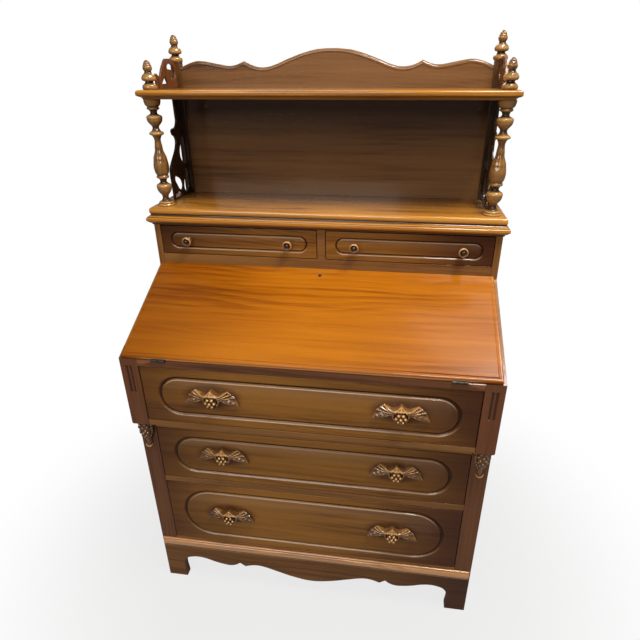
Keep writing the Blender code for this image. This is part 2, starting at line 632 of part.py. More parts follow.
# A bar with round ends, from a to b along its own line
def bar_outline(a, b, radius):
    ends = []
    for centre, start in ((b, -math.pi / 2), (a, math.pi / 2)):
        for i in range(5):
            angle = start + math.pi * i / 4
            ends.append((centre + radius * math.cos(angle), radius * math.sin(angle)))
    return corners(ends)


stay_outline = bar_outline(0, stay_length - STAY_WIDTH / 2, STAY_WIDTH / 2)
stay_slot = bar_outline(slot0, slot1, STAY_SLOT / 2)
guide_along = STAY_GUIDE
guide_y = pivot_y + guide_along * math.cos(STAY_TILT)
guide_z = pivot_z + guide_along * math.sin(STAY_TILT)
brackets, arms = [], []
for label, side in SIDES:
    arm_in, arm_out = stay_x - STAY_THICK / 2, stay_x + STAY_THICK / 2
    web_out = arm_in - RUNNING
    bracket = node("stay_bracket_" + label, side_box(
        side, web_out - 0.020, web_out, (STAY_PIVOT_U - 0.015, LID_INNER - FIT - 0.0015),
        (STAY_PIVOT_U + 0.015, LID_INNER - FIT), LID_FRAME), STEEL)
    join(bracket, side_box(side, web_out - 0.002, web_out, (STAY_PIVOT_U - 0.007, pivot_n - 0.006),
                           (STAY_PIVOT_U + 0.007, LID_INNER - FIT - 0.0005), LID_FRAME))
    head0, head1 = side * (arm_out + RUNNING / 2), side * (arm_out + 0.002)
    join(bracket, rod_mesh((side * (web_out - 0.001), STAY_PIVOT_U, pivot_n), (head1, STAY_PIVOT_U, pivot_n),
                           STAY_STUD_R, LID_FRAME))
    join(bracket, rod_mesh((head0, STAY_PIVOT_U, pivot_n), (head1, STAY_PIVOT_U, pivot_n),
                           STAY_STUD_R + STAY_HEAD, LID_FRAME))
    brackets.append(bracket)
    arm = node("stay_arm_" + label, plate_mesh([stay_outline, stay_slot], "YZ", side * arm_in, side * arm_out,
                                               1, stay_frame), STEEL)
    combine(arm, rod_mesh((side * (arm_in - 0.01), pivot_y, pivot_z),
                          (side * (arm_out + 0.01), pivot_y, pivot_z), STAY_STUD_R + FIT))
    arms.append(arm)
    guide = node("stay_guide_" + label, rod_mesh((side * (SIDE_IN - FIT), guide_y, guide_z),
                                                 (side * (SIDE_IN - 0.003), guide_y, guide_z), 0.008), STEEL)
    join(guide, rod_mesh((side * (SIDE_IN - 0.002), guide_y, guide_z),
                         (side * (arm_out + RUNNING), guide_y, guide_z), STAY_STUD_R))

# Cornice top, shelf and gallery
cornice = [
    (0, 21), (4, 42), (8, 79), (11.5, 100), (16, 100), (19, 79), (21, 54), (24, 25), (27.4, 33), (32, 38),
    (38, 29), (41, 4),
]
cornice_rise = DESK_TOP_THICK / 41
cornice_out = CORNICE_OUT / 100
rings = [ring(HALF + cornice_out * out, SMALL_FRONT - cornice_out * 1.16 * out, CASE_DEPTH,
              Z_CASE_TOP + FIT + h * cornice_rise) for h, out in cornice]
node("desk_top", loft_mesh(rings), WALNUT_DARK)

shelf_edge = [(0, 11), (2.5, 10), (5, 7), (6.5, 3), (8.5, 0.5), (11, 0), (15, 0), (17.5, 1), (19, 3.5)]
shelf_half = HALF - SHELF_SET_IN
shelf_front = SMALL_FRONT + SHELF_SET_BACK
shelf_rise = SHELF_THICK / 19
rings = [ring(shelf_half - back * shelf_rise, shelf_front + back * shelf_rise, GALLERY_FACE - FIT,
              Z_SHELF + h * shelf_rise) for h, back in shelf_edge]
shelf = node("shelf", loft_mesh(rings), WALNUT_DARK)
for _, side in SIDES:
    combine(shelf, side_box(side, GALLERY_HALF, HALF + 0.1, (REAR_FACE - FIT, Z_SHELF - 0.1),
                            (1, Z_SHELF + 0.1)))

CREST = [
    (0, 86.3, 0), (30, 85, 0), (60, 79.5, 0), (100, 67, 0), (120, 59.5, 0), (140, 52, 0), (167, 46.3, 0),
    (190, 49, 0), (205, 54.5, 0), (216, 60, 1), (226, 56, 0), (240, 51.5, 0), (256, 50, 0), (280, 53.5, 0),
    (305, 58, 0), (332, 61, 0), (350, 58, 0), (368, 52, 0), (379.7, 47, 1),
]
crest_scale = GALLERY_HALF / 379.7
crest_rise = CREST_RISE / 86.3
right_edge = [(x * crest_scale, Z_SHELF_TOP + h * crest_rise, bool(c)) for x, h, c in CREST]
crest = [(-x, z, c) for x, z, c in reversed(right_edge)] + right_edge[1:]
crest += corners([(GALLERY_HALF, Z_DESK_TOP + FIT), (-GALLERY_HALF, Z_DESK_TOP + FIT)])
node("gallery_back", plate_mesh([crest], "XZ", GALLERY_FACE, GALLERY_FACE + GALLERY_THICK, 3), WALNUT_DARK)

# Pierced side frets: points run forward of the rear post and up from the board below
fret_scale = (REAR_FACE - POST_Y - POST_R) / 129
LOWER_FRET = [
    [(0, 0, 1), (0, 241.4, 1), (38, 241.4, 1), (37, 205, 0), (38, 183, 0), (50, 172, 0), (63, 170.5, 0),
     (72, 166, 0), (69, 157, 0), (58, 150, 0), (53, 142, 0), (56, 130, 0), (64, 119, 0), (82, 103, 0),
     (98, 89, 0), (106, 79, 0), (108, 64, 0), (107, 48, 0), (105.5, 28, 0), (105, 0, 1)],
    [(9, 152, 1), (27, 133, 0), (39, 104, 0), (30, 88, 0), (7, 78, 1), (4.5, 112, 0)],
    [(86, 55, 0), (70, 54, 0), (44, 34, 0), (47, 22, 0), (60, 20, 0), (78, 36, 0)],
    [(97, 9.5, 0), (80, 15, 0), (62, 13.5, 0), (59, 9, 0), (80, 5.5, 0)],
    [(27, 48, 0), (8, 68, 0), (5, 40, 0), (12, 12, 0), (32, 12, 0)],
]
UPPER_FRET = [
    [(0, 0, 1), (0, 55.5, 1), (7, 57.5, 0), (17, 63, 0), (41, 64.7, 0), (59, 63.3, 0), (70, 55, 0),
     (81.5, 44.6, 0), (92, 31, 0), (98, 24.5, 1), (106, 29, 0), (116, 33, 0), (120, 29, 0), (119, 16, 0),
     (118, 0, 1)],
    [(52, 45, 0), (45, 52.5, 0), (22, 50.5, 0), (9, 40, 0), (7.5, 31, 0), (13, 23, 0), (26, 18.5, 0),
     (31, 22, 0), (22, 31, 0), (26, 39, 0), (38, 41.5, 0)],
    [(69, 27, 1), (89, 11, 1), (58, 11, 1)],
]
lower_scale = POST_HEIGHT / 241.4
upper_scale = REAR_POST_RISE / 57.7
for label, side in SIDES:
    for name, loops, base, rise in (("lower_fret_", LOWER_FRET, Z_DESK_TOP + FIT, lower_scale),
                                    ("upper_fret_", UPPER_FRET, Z_SHELF_TOP + FIT, upper_scale)):
        outlines = [[(REAR_FACE - FIT - f * fret_scale, base + h * rise, bool(c)) for f, h, c in loop]
                    for loop in loops]
        node(name + label, plate_mesh(outlines, "YZ", side * (REAR_X - FRET_THICK / 2),
                                      side * (REAR_X + FRET_THICK / 2), 2), WALNUT_DARK)

post_profile = turned_profile(POST_TURNS, POST_HEIGHT, POST_R)
finial_profile = turned_profile(FINIAL_TURNS, FINIAL_HEIGHT, FINIAL_R)
for label, side in SIDES:
    turned("front_post_" + label, post_profile, WALNUT_DARK, (side * POST_X, POST_Y, Z_DESK_TOP + FIT))
    turned("front_finial_" + label, finial_profile, WALNUT_DARK, (side * POST_X, POST_Y, Z_SHELF_TOP + FIT))
    rear = turned("rear_post_" + label, finial_profile, WALNUT_DARK, (side * REAR_X, REAR_Y, Z_REAR_TOP))
    size = REAR_POST_SIZE / 2
    chamfer = size * 0.7
    octagon = [(chamfer, -size), (size, -chamfer), (size, chamfer), (chamfer, size),
               (-chamfer, size), (-size, chamfer), (-size, -chamfer), (-chamfer, -size)]
    shaft = [[(side * REAR_X + x, REAR_Y + y, z) for x, y in octagon]
             for z in (Z_DESK_TOP + FIT, Z_REAR_TOP + 0.0015)]
    join(rear, loft_mesh(shaft))

# A carved pull: two toothed leaves, a pointed cap leaf and a cluster of grapes
LEAF = [
    (0, 20.5, 1), (6, 14, 0), (14, 9.5, 0), (25, 12, 0), (36, 20.5, 1), (40, 15.5, 0), (46, 15, 1),
    (49, 9, 0), (54, 7.5, 1), (57, -1, 0), (62.5, -12, 1), (51, -12, 0), (38, -10, 0), (26, -6, 0),
    (15, -4, 0),
]
GRAPES = [
    (-6, -2, 13), (6, -2, 13), (-10.5, -8.5, 10), (10.5, -8.5, 10), (0, -8.5, 18),
    (-6, -15, 12), (6, -15, 12), (0, -18.5, 10),
]
GRAPE_R = 0.0058


def sphere_mesh(centre, size):
    bm = bmesh.new()
    bmesh.ops.create_uvsphere(bm, u_segments=6, v_segments=5, radius=1)
    bmesh.ops.scale(bm, vec=size, verts=bm.verts)
    bmesh.ops.translate(bm, vec=centre, verts=bm.verts)
    return to_mesh(bm, "grape")


leaf_half = [(x / 1000, z / 1000, bool(c)) for x, z, c in LEAF]
leaf = leaf_half + [(0, -0.010, False)] + [(-x, z, c) for x, z, c in reversed(leaf_half[1:])]
depth_scale = (PULL_PROUD - GRAPE_R) / 18
fruit = [sphere_mesh((x / 1000, -d * depth_scale, z / 1000), (GRAPE_R, GRAPE_R, GRAPE_R))
         for x, z, d in GRAPES]
fruit.append(sphere_mesh((0, -0.011, 0.0065), (0.011, 0.010, 0.0085)))
blank = node("pull_blank", plate_mesh([leaf], "XZ", -0.0075, 0, 1), WALNUT_DARK)
blank.location = (0, BLOCK_FACE, 0)
fruit_tool = combine(blank, joined_mesh(fruit), "UNION", True)
bpy.context.view_layer.update()
solid = blank.evaluated_get(bpy.context.evaluated_depsgraph_get())
pull_mesh = bpy.data.meshes.new_from_object(solid)
for scrap in (blank, fruit_tool):
    bpy.data.objects.remove(scrap, do_unlink=True)
bm = bmesh.new()
bm.from_mesh(pull_mesh)
bmesh.ops.remove_doubles(bm, verts=bm.verts, dist=0.00002)
bm.to_mesh(pull_mesh)
bm.free()
smooth(pull_mesh)

# Long drawers: a grooved front, an open box behind it, and two pulls
box_half = STILE_IN - BOX_SIDE_CLEAR
box_back = BOARD_BACK - BOX_BACK_CLEAR
front_half = STILE_IN - REVEAL
drawers = {}
for number, face, floor, height in ((1, DRAWER_SETBACK, Z_FLOOR_1, TOP_DRAWER_HEIGHT),
                                    (2, FRONT_LOW, Z_FLOOR_2, MID_DRAWER_HEIGHT),
                                    (3, FRONT_LOW, Z_FLOOR_3, LOW_DRAWER_HEIGHT)):
    z0 = floor + REVEAL
    z1 = z0 + height
    name = "drawer_%d_" % number
    front_back = face + FRONT_THICK
    front = node(name + "front", box_mesh((-front_half, face, z0), (front_half, front_back, z1)), WALNUT)
    combine(front, groove_mesh(-front_half + GROOVE_END, front_half - GROOVE_END, z0 + GROOVE_MARGIN,
                               z1 - GROOVE_MARGIN, face))
    box_front = front_back + FIT
    box_floor = floor + BOX_LIFT
    box_low, box_high = (-box_half, box_front, box_floor), (box_half, box_back, z1 - BOX_DROP)
    tray = node(name + "box", box_mesh(box_low, box_high), PINE)
    combine(tray, box_mesh((-box_half + BOX_WALL, box_front - 0.05, box_floor + BOX_BOTTOM),
                           (box_half - BOX_WALL, box_back - BOX_WALL, z1 + 0.05)))
    members = [front, tray]
    for label, side in SIDES:
        members.append(node(name + "pull_" + label, pull_mesh, WALNUT_DARK,
                            (side * PULL_X, face - FIT, (z0 + z1) / 2 + PULL_UP)))
    drawers["drawer_%d" % number] = (members, (0, face, (z0 + z1) / 2))

# Small drawers, each one grooved box with two turned knobs
knob_profile = turned_profile(KNOB_TURNS, KNOB_PROUD, KNOB_R)
z0 = Z_DECK + REVEAL
z1 = z0 + SMALL_DRAWER_HEIGHT
small_margin = SMALL_DRAWER_HEIGHT * 0.235
for label, side in SIDES:
    xa = DIVIDER_THICK / 2 + REVEAL
    xb = SIDE_IN - REVEAL
    drawer = node("small_drawer_" + label, side_box(side, xa, xb, (SMALL_FRONT, z0),
                                                    (SMALL_FRONT + FRONT_THICK, z1)), WALNUT)
    join(drawer, side_box(side, xa, xb, (SMALL_FRONT + FRONT_THICK / 2, Z_DECK + FIT), (box_back, z1)))
    combine(drawer, side_box(side, xa + BOX_WALL, xb - BOX_WALL, (SMALL_FRONT + FRONT_THICK, z0 + BOX_BOTTOM),
                             (box_back - BOX_WALL, z1 + 0.05)))
    g0, g1 = sorted((side * (xa + 0.0245), side * (xb - 0.0245)))
    combine(drawer, groove_mesh(g0, g1, z0 + small_margin, z1 - small_margin, SMALL_FRONT))
    members = [drawer]
    for place, x in (("inner", xa + KNOB_END), ("outer", xb - KNOB_END)):
        knob = turned("small_knob_%s_%s" % (label, place), knob_profile, WALNUT_DARK,
                      (side * x, SMALL_FRONT - FIT, (z0 + z1) / 2))
        knob.rotation_euler = (math.pi / 2, 0, 0)
        members.append(knob)
    drawers["small_drawer_" + label] = (members, (side * (xa + xb) / 2, SMALL_FRONT, (z0 + z1) / 2))


# Joint axes: each moving group hangs on an empty at its axis
def axis_empty(name, at, members, parent=None):
    empty = bpy.data.objects.new(name, None)
    parts.objects.link(empty)
    empty.location = (at[0], at[1] + BLOCK_FACE, at[2])
    bpy.context.view_layer.update()
    if parent:
        empty.parent = parent
        empty.matrix_parent_inverse = parent.matrix_world.inverted()
    bpy.context.view_layer.update()
    for obj in members:
        obj.parent = empty
        obj.matrix_parent_inverse = empty.matrix_world.inverted()
    return empty


lid_axis = axis_empty("lid_axis", (0, HINGE_Y, HINGE_Z), [lid, lock] + lid_leaves + brackets)
bolt_end = LID_FRAME @ Vector((0, bolt_top, bolt_n))
axis_empty("lock_bolt_axis", bolt_end, [bolt], lid_axis)
for (label, side), arm in zip(SIDES, arms):
    axis_empty("stay_axis_" + label, (side * stay_x, pivot_y, pivot_z), [arm], lid_axis)
for name, (members, at) in drawers.items():
    axis_empty(name + "_axis", at, members)
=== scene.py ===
# %% [markdown]
# # Drop-front desk in carved walnut
# The CAD model gives the frame: every board, joint and size. This script dresses it. Boards get eased edges
# and grain, turned work is spun again with many more sides, and the carved pulls and corbels are modelled
# in relief. Everything is in metres. X runs to the desk's right, Y from front to back and Z up.

# %% Load the frame
import json
import math

import bmesh
import bpy
import numpy as np
from mathutils import Matrix, Vector
from mathutils.geometry import delaunay_2d_cdt


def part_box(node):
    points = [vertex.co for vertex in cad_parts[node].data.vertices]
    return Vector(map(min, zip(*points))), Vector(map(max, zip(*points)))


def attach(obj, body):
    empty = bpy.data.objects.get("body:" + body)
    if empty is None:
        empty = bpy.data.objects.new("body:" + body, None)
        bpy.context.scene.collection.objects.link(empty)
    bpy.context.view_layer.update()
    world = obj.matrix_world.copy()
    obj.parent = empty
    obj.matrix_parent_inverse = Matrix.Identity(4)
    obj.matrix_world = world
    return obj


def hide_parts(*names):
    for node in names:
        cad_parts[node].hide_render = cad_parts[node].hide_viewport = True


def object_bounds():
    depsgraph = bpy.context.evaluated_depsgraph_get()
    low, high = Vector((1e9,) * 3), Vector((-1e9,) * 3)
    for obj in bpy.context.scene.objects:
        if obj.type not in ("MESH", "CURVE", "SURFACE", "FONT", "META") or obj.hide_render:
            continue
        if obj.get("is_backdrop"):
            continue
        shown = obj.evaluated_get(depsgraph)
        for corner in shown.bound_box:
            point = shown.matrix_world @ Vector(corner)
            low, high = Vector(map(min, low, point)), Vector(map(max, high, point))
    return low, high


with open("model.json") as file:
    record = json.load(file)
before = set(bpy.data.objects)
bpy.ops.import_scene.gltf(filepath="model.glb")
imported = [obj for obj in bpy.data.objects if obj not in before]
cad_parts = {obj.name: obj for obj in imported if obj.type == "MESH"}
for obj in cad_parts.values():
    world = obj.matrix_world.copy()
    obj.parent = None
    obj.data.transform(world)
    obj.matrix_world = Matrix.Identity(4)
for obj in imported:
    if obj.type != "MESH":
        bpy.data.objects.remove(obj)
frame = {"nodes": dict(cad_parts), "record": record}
cad_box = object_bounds()
RECORD = frame["record"]
BODY = {n: body for body, nodes in RECORD["behaviour"]["bodies"].items() for n in nodes}
SLOT = {row["node"]: row["material_slot"] for row in RECORD["subparts"]}
SIDES = (("left", -1), ("right", 1))
MM = 0.001
print("nodes", len(BODY), "box", [round(v, 4) for corner in cad_box for v in corner])

# %% [markdown]
# ## A small language for nodes
# Wood is mostly arithmetic on coordinates. `Val` wraps one socket so that sums can be written with the
# usual signs, and `Nodes.add` makes any other node from its type, its settings and its sockets. The
# materials, the sky and the Geometry Nodes tree are all built with it.

# %% Node helpers


class Val:
    def __init__(self, nodes, socket):
        self.nodes = nodes
        self.socket = socket

    def math(self, operation, *others):
        return self.nodes.add("ShaderNodeMath", {"operation": operation}, dict(enumerate((self, *others))))

    def __add__(self, other):
        return self.math("ADD", other)

    def __sub__(self, other):
        return self.math("SUBTRACT", other)

    def __mul__(self, other):
        return self.math("MULTIPLY", other)

    def __truediv__(self, other):
        return self.math("DIVIDE", other)

    def __rsub__(self, other):
        return self.nodes.constant(other) - self

    def __rtruediv__(self, other):
        return self.nodes.constant(other) / self

    __radd__ = __add__
    __rmul__ = __mul__

    def step(self, low, high, to_low=0.0, to_high=1.0):
        return self.nodes.add("ShaderNodeMapRange", {"interpolation_type": "SMOOTHSTEP"},
                              {0: self, 1: low, 2: high, 3: to_low, 4: to_high})

    def outputs(self):
        return {socket.name: Val(self.nodes, socket) for socket in self.socket.node.outputs}


class Nodes:
    def __init__(self, tree):
        self.tree = tree
        tree.nodes.clear()

    def add(self, kind, settings=None, sockets=None, out=0):
        node = self.tree.nodes.new(kind)
        for key, setting in (settings or {}).items():
            setattr(node, key, setting)
        for key, given in (sockets or {}).items():
            if isinstance(given, Val):
                self.tree.links.new(given.socket, node.inputs[key])
            else:
                node.inputs[key].default_value = given
        return Val(self, node.outputs[out]) if node.outputs else None

    def constant(self, amount):
        fixed = self.add("ShaderNodeValue")
        fixed.socket.default_value = amount
        return fixed

    def attribute(self, name, out):
        return self.add("ShaderNodeAttribute", {"attribute_name": name}, None, out)

    def split(self, vector):
        return list(self.add("ShaderNodeSeparateXYZ", None, {0: vector}).outputs().values())

    def object_place(self):
        return self.split(self.add("ShaderNodeTexCoord", None, None, "Object"))

    def noise(self, x, y, z, detail=2.0, roughness=0.5):
        place = self.add("ShaderNodeCombineXYZ", None, {0: x, 1: y, 2: z})
        return self.add("ShaderNodeTexNoise", None,
                        {"Vector": place, "Scale": 1.0, "Detail": detail, "Roughness": roughness})

    def mix(self, factor, a, b):
        pair = [c if isinstance(c, Val) else (*c, 1.0) for c in (a, b)]
        return self.add("ShaderNodeMix", {"data_type": "RGBA"}, {0: factor, 6: pair[0], 7: pair[1]}, 2)

    def bump(self, height, strength, distance):
        return self.add("ShaderNodeBump", None,
                        {"Strength": strength, "Distance": distance, "Height": height})


class Shader(Nodes):
    def __init__(self, name):
        self.material = bpy.data.materials.new(name)
        self.material.use_nodes = True
        super().__init__(self.material.node_tree)

    def surface(self, sockets):
        made = self.add("ShaderNodeBsdfPrincipled", None, sockets)
        self.add("ShaderNodeOutputMaterial", None, {"Surface": made})
        return self.material


# %% [markdown]
# ## Walnut
# A board is a flat slice of a tree, so the figure is growth rings cut by a plane. Each piece carries a
# `plank` attribute, its place in the tree: along the grain, across the board, and out from the heart. Rings
# are drawn by distance from the heart, bent by slow noise, which gives the tall arches on the lid. Streaks,
# fibres and short dark pores follow at smaller sizes. Painted shade darkens some boards toward their ends.
# The tops darken toward the back with a painted shadow of the shelf and a painted reflection of the gallery,
# and a painted shadow of the shelf falls on the gallery board. Round the pulls the fronts are darker, painted
# shade of the pulls together with darker old polish. Carved and moulded pieces also carry a value per point:
# low values darken it, for dirt in cuts and for painted shade; 0.5 is plain wood; high values lighten it,
# for wear and for painted highlights.

# %% Wood materials
# Share of the deep colour used for dirt in cuts and for painted shade
DIRT_AND_SHADE = 0.4
PLAIN = 0.5
RING_BEND, RING_RIPPLE, TREE_TAPER = 0.16, 0.014, 0.022
PULL_X = sum(corner.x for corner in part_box("drawer_1_pull_right")) / 2
HALO_WIDE, HALO_TALL = 80 * MM, 38 * MM
TOP_FRONT, TOP_BACK = (corner.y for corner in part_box("desk_top"))
SHELF_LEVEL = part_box("shelf")[0].z
SHADE_START, SHADE_FULL, SHADE_END = SHELF_LEVEL - 0.20, SHELF_LEVEL - 0.03, SHELF_LEVEL + 0.002


def wood(name, deep, body, bright, gloss=0.28, coat=0.12, shine=0.3, ring=0.010, contrast=1.0, worn=None,
         ends=0.0, lean=0.0, halo=0.0, under=0.0, shelf_shadow=0.0):
    sh = Shader(name)
    x, y, z = sh.split(sh.attribute("plank", "Vector"))

    def figure(lengthwise, crosswise, detail=2.0, roughness=0.5):
        return sh.noise(x * lengthwise, y * crosswise, z * crosswise, detail, roughness)

    slow = figure(1.3, 5.0)
    quick = figure(4.0, 24, 3.0)
    bent = y + (slow - 0.5) * RING_BEND
    depth = z + (quick - 0.5) * RING_RIPPLE
    heart = (bent * bent + depth * depth).math("SQRT") + x * TREE_TAPER
    age = (heart / ring).math("FRACT")
    late = age.step(0.05, 0.82) * age.step(0.86, 1.0, 1.0, 0.0)
    band = figure(0.9, 14)
    streak = figure(2.2, 70, 5.0, 0.66)
    fibre = figure(12, 420)
    pore = figure(85, 1400, 1.0).step(0.63, 0.74)
    tone = figure(2.4, 4.0)
    shade = (late - 0.45) * (band.step(0.35, 0.70) * 0.30 * contrast) + (streak - 0.5) * 1.5
    shade = shade + (fibre - 0.5) * 0.40 + (tone - 0.5) * 1.0 + (band - 0.5) * (0.5 + 0.3 * contrast)
    colour = sh.mix((shade + 0.5).step(0.0, 0.95), bright, body)
    colour = sh.mix((shade - 0.02).step(0.0, 0.75) * 0.85, colour, deep)
    colour = sh.mix(pore * 0.45, colour, deep)
    right, back, up = sh.object_place()
    # Painted shadow of the shelf and painted reflection of the gallery: the tops darken toward the back
    if under:
        inward = (back - TOP_FRONT) / (TOP_BACK - TOP_FRONT)
        colour = sh.mix(inward.step(0.25, 0.85) * under, colour, deep)
    # Painted shade: darker toward the ends of a board, tipped toward one side by the lean
    if ends:
        toward_ends = right.math("ABSOLUTE") * (1 - abs(lean)) + right * lean + (slow - 0.5) * 0.25
        colour = sh.mix(toward_ends.step(0.12, 0.42) * ends, colour, deep)
    # Painted shadow of the shelf on the board below it
    if shelf_shadow:
        below = up.step(SHADE_START, SHADE_FULL) * up.step(SHELF_LEVEL, SHADE_END, 1, 0)
        colour = sh.mix(below * shelf_shadow, colour, deep)
    # Darker round each pull: painted shade of the pull together with darker old polish
    if halo:
        across = (right.math("ABSOLUTE") - PULL_X) / HALO_WIDE
        above = (up - sh.attribute("pull_level", "Fac")) / HALO_TALL
        reach = (across * across + above * above).math("SQRT") + (slow - 0.5) * 0.3
        colour = sh.mix(reach.step(1.0, 0.6) * halo, colour, deep)
    rough = gloss + (streak - 0.5) * 0.10 + pore * 0.12
    if worn:
        # Low values darken toward the dirt colour, for dirt in cuts and for painted shade; high values
        # lighten toward the pale colour, for wear and for painted highlights
        hollow = sh.attribute("hollow", "Fac")
        colour = sh.mix(hollow.step(0.48, 0.16) * 0.92, colour, [c * DIRT_AND_SHADE for c in deep])
        colour = sh.mix(hollow.step(0.54, 0.90) * 0.85, colour, worn)
        rough = rough - hollow.step(0.55, 0.8) * 0.06
    return sh.surface({
        "Base Color": colour, "Roughness": rough, "Coat Weight": coat, "Coat Roughness": 0.06,
        "Specular IOR Level": shine, "Normal": sh.bump(fibre * 0.35 - pore, 0.20, 0.4 * MM),
    })


# Fronts: the pale colour is a painted highlight on groove walls that face up, painted shade darkens the ends,
# and the ring round each pull is painted shade with darker old polish
FRONT = wood("walnut_front_fine", (0.052, 0.012, 0.005), (0.228, 0.090, 0.014), (0.360, 0.153, 0.024),
             gloss=0.18, shine=0.22, contrast=0.7, worn=(0.52, 0.36, 0.24), ends=0.9, lean=0.06, halo=0.7)
WALNUT = wood("walnut_fine", (0.064, 0.020, 0.005), (0.200, 0.080, 0.018), (0.300, 0.132, 0.033),
              gloss=0.18, coat=0.20, contrast=0.5)
# Gallery board: a painted shadow of the shelf darkens it below the shelf
PANEL = wood("walnut_panel", (0.030, 0.014, 0.008), (0.160, 0.074, 0.026), (0.230, 0.112, 0.042),
             gloss=0.16, coat=0.30, contrast=0.35, shelf_shadow=0.6)
# Lid: painted shade darkens it toward the left, and its pale colour is a painted highlight on the front edge
LID = wood("walnut_lid_fine", (0.105, 0.022, 0.001), (0.285, 0.077, 0.002), (0.435, 0.140, 0.005),
           gloss=0.24, coat=0.10, shine=0.2, ring=0.014, worn=(0.55, 0.28, 0.12), ends=0.45, lean=-1.0)
# Tops: lighter than the other walnut to stand for the sheen on them, a painted sheen; painted shadow and
# reflection darken them toward the back, and the pale colour is a painted highlight on the noses
TOPS = wood("walnut_top_fine", (0.105, 0.032, 0.003), (0.340, 0.132, 0.012), (0.550, 0.236, 0.036),
            gloss=0.16, coat=0.30, shine=0.35, worn=(0.66, 0.33, 0.070), under=0.6)
DARK = wood("walnut_dark_fine", (0.038, 0.010, 0.003), (0.122, 0.042, 0.014), (0.200, 0.074, 0.026),
            gloss=0.20, coat=0.15)
BLOCKS = wood("walnut_block", (0.038, 0.010, 0.003), (0.122, 0.040, 0.014), (0.200, 0.070, 0.026),
              gloss=0.20, coat=0.15, worn=(0.26, 0.10, 0.04))
# Apron: painted shade darkens it toward the right end
APRON_WOOD = wood("walnut_apron", (0.036, 0.008, 0.005), (0.180, 0.073, 0.019), (0.270, 0.117, 0.033),
                  gloss=0.20, shine=0.22, ends=0.8, lean=1.0)
# Carved work: the pale colour is a painted highlight on ridges, hood, calyx, grapes and berries, together
# with wear
CARVED = wood("walnut_carved", (0.026, 0.009, 0.003), (0.125, 0.053, 0.017), (0.235, 0.108, 0.036),
              gloss=0.14, coat=0.40, shine=0.5, worn=(0.70, 0.37, 0.12))
# Turned work: the pale colour is a painted highlight on the swells, together with wear
TURNED = wood("walnut_turned", (0.030, 0.011, 0.003), (0.185, 0.082, 0.019), (0.300, 0.142, 0.036),
              gloss=0.13, coat=0.40, shine=0.5, worn=(0.50, 0.285, 0.085))
# Base moulding: the pale colour on its rounds is a painted reflection
BASE_WOOD = wood("walnut_base", (0.150, 0.050, 0.016), (0.460, 0.215, 0.080), (0.640, 0.310, 0.115),
                 gloss=0.16, coat=0.40, shine=0.5, worn=(0.90, 0.56, 0.34))
# Lower frets: a near-black walnut that is painted shade under the shelf
SHADED = wood("walnut_shaded", (0.006, 0.003, 0.002), (0.030, 0.013, 0.006), (0.060, 0.026, 0.011),
              gloss=0.16, coat=0.30)
PINE = wood("pine_fine", (0.330, 0.180, 0.075), (0.520, 0.340, 0.170), (0.640, 0.460, 0.260),
            gloss=0.62, coat=0.0, ring=0.005, contrast=0.8)
print("woods", len(bpy.data.materials))

# %% [markdown]
# ## Steel
# The hardware is old steel, brushed once and stained since. Brushing is noise drawn out along one axis, and
# the stains are round noise that is darker, rougher and less like bare metal.

# %% Steel material
STEEL_DARK, STEEL_BRIGHT = (0.025, 0.023, 0.021), (0.085, 0.08, 0.073)
STEEL_GLOSS = 0.48

sh = Shader("steel_worn")
x, y, z = sh.object_place()
brushed = sh.noise(x * 60, y * 900, z * 900, 3.0)
stain = sh.noise(x * 130, y * 130, z * 130, 4.0, 0.65)
STEEL = sh.surface({
    "Base Color": sh.mix(stain.step(0.40, 0.68), STEEL_BRIGHT, STEEL_DARK),
    "Metallic": 1.0 - stain.step(0.55, 0.8) * 0.25,
    "Roughness": STEEL_GLOSS + (brushed - 0.5) * 0.2 + stain.step(0.45, 0.75) * 0.2,
    "Normal": sh.bump(brushed, 0.10, 0.2 * MM),
})
print("materials", len(bpy.data.materials))

# %% [markdown]
# ## Pieces
# Each finished mesh becomes one object at the origin. `finished` weights its normals so that broad flats
# stay flat beside their rounded edges, writes the `plank` coordinates, names the piece after its node, hangs
# it under its body and hides the CAD part. `GRAIN` turns a piece's own axes into the tree's: along the grain,
# across it and out from the heart.

# %% Piece helpers
GRAIN = {
    "x": Matrix(((1, 0, 0), (0, 0, -1), (0, 1, 0))),
    "x_flat": Matrix(((1, 0, 0), (0, 1, 0), (0, 0, 1))),
    "z": Matrix(((0, 0, 1), (1, 0, 0), (0, 1, 0))),
    "z_side": Matrix(((0, 0, 1), (0, 1, 0), (1, 0, 0))),
}
ARRIS = math.radians(42)
SAME_POINT = 0.02 * MM
FALLBACK = {"walnut": WALNUT, "walnut_lid": LID, "walnut_dark": DARK, "pine": PINE, "steel": STEEL}


def shift_of(name):
    # Each name gets its own fixed place in the tree
    seed = sum((i + 1) * ord(letter) for i, letter in enumerate(name))
    return (0.37 * (seed % 11), 0.11 * (seed % 7) / 7 - 0.05, 0.06 + 0.05 * (seed % 5) / 5)


def to_mesh(bm, name):
    bmesh.ops.recalc_face_normals(bm, faces=bm.faces)
    mesh = bpy.data.meshes.new(name)
    bm.to_mesh(mesh)
    bm.free()
    return mesh


def as_bmesh(mesh):
    bm = bmesh.new()
    bm.from_mesh(mesh)
    return bm


def linked(name, data):
    obj = bpy.data.objects.new(name, data)
    bpy.context.scene.collection.objects.link(obj)
    return obj


def set_values(mesh, name, kind, values):
    layer = mesh.attributes.new(name, kind, "POINT")
    layer.data.foreach_set("vector" if kind == "FLOAT_VECTOR" else "value", np.asarray(values, "f").ravel())


def points_of(mesh):
    found = np.zeros(len(mesh.vertices) * 3, "f")
    mesh.vertices.foreach_get("co", found)
    return found.reshape(-1, 3)


def normals_of(mesh):
    found = np.zeros(len(mesh.vertices) * 3, "f")
    mesh.vertices.foreach_get("normal", found)
    return found.reshape(-1, 3)


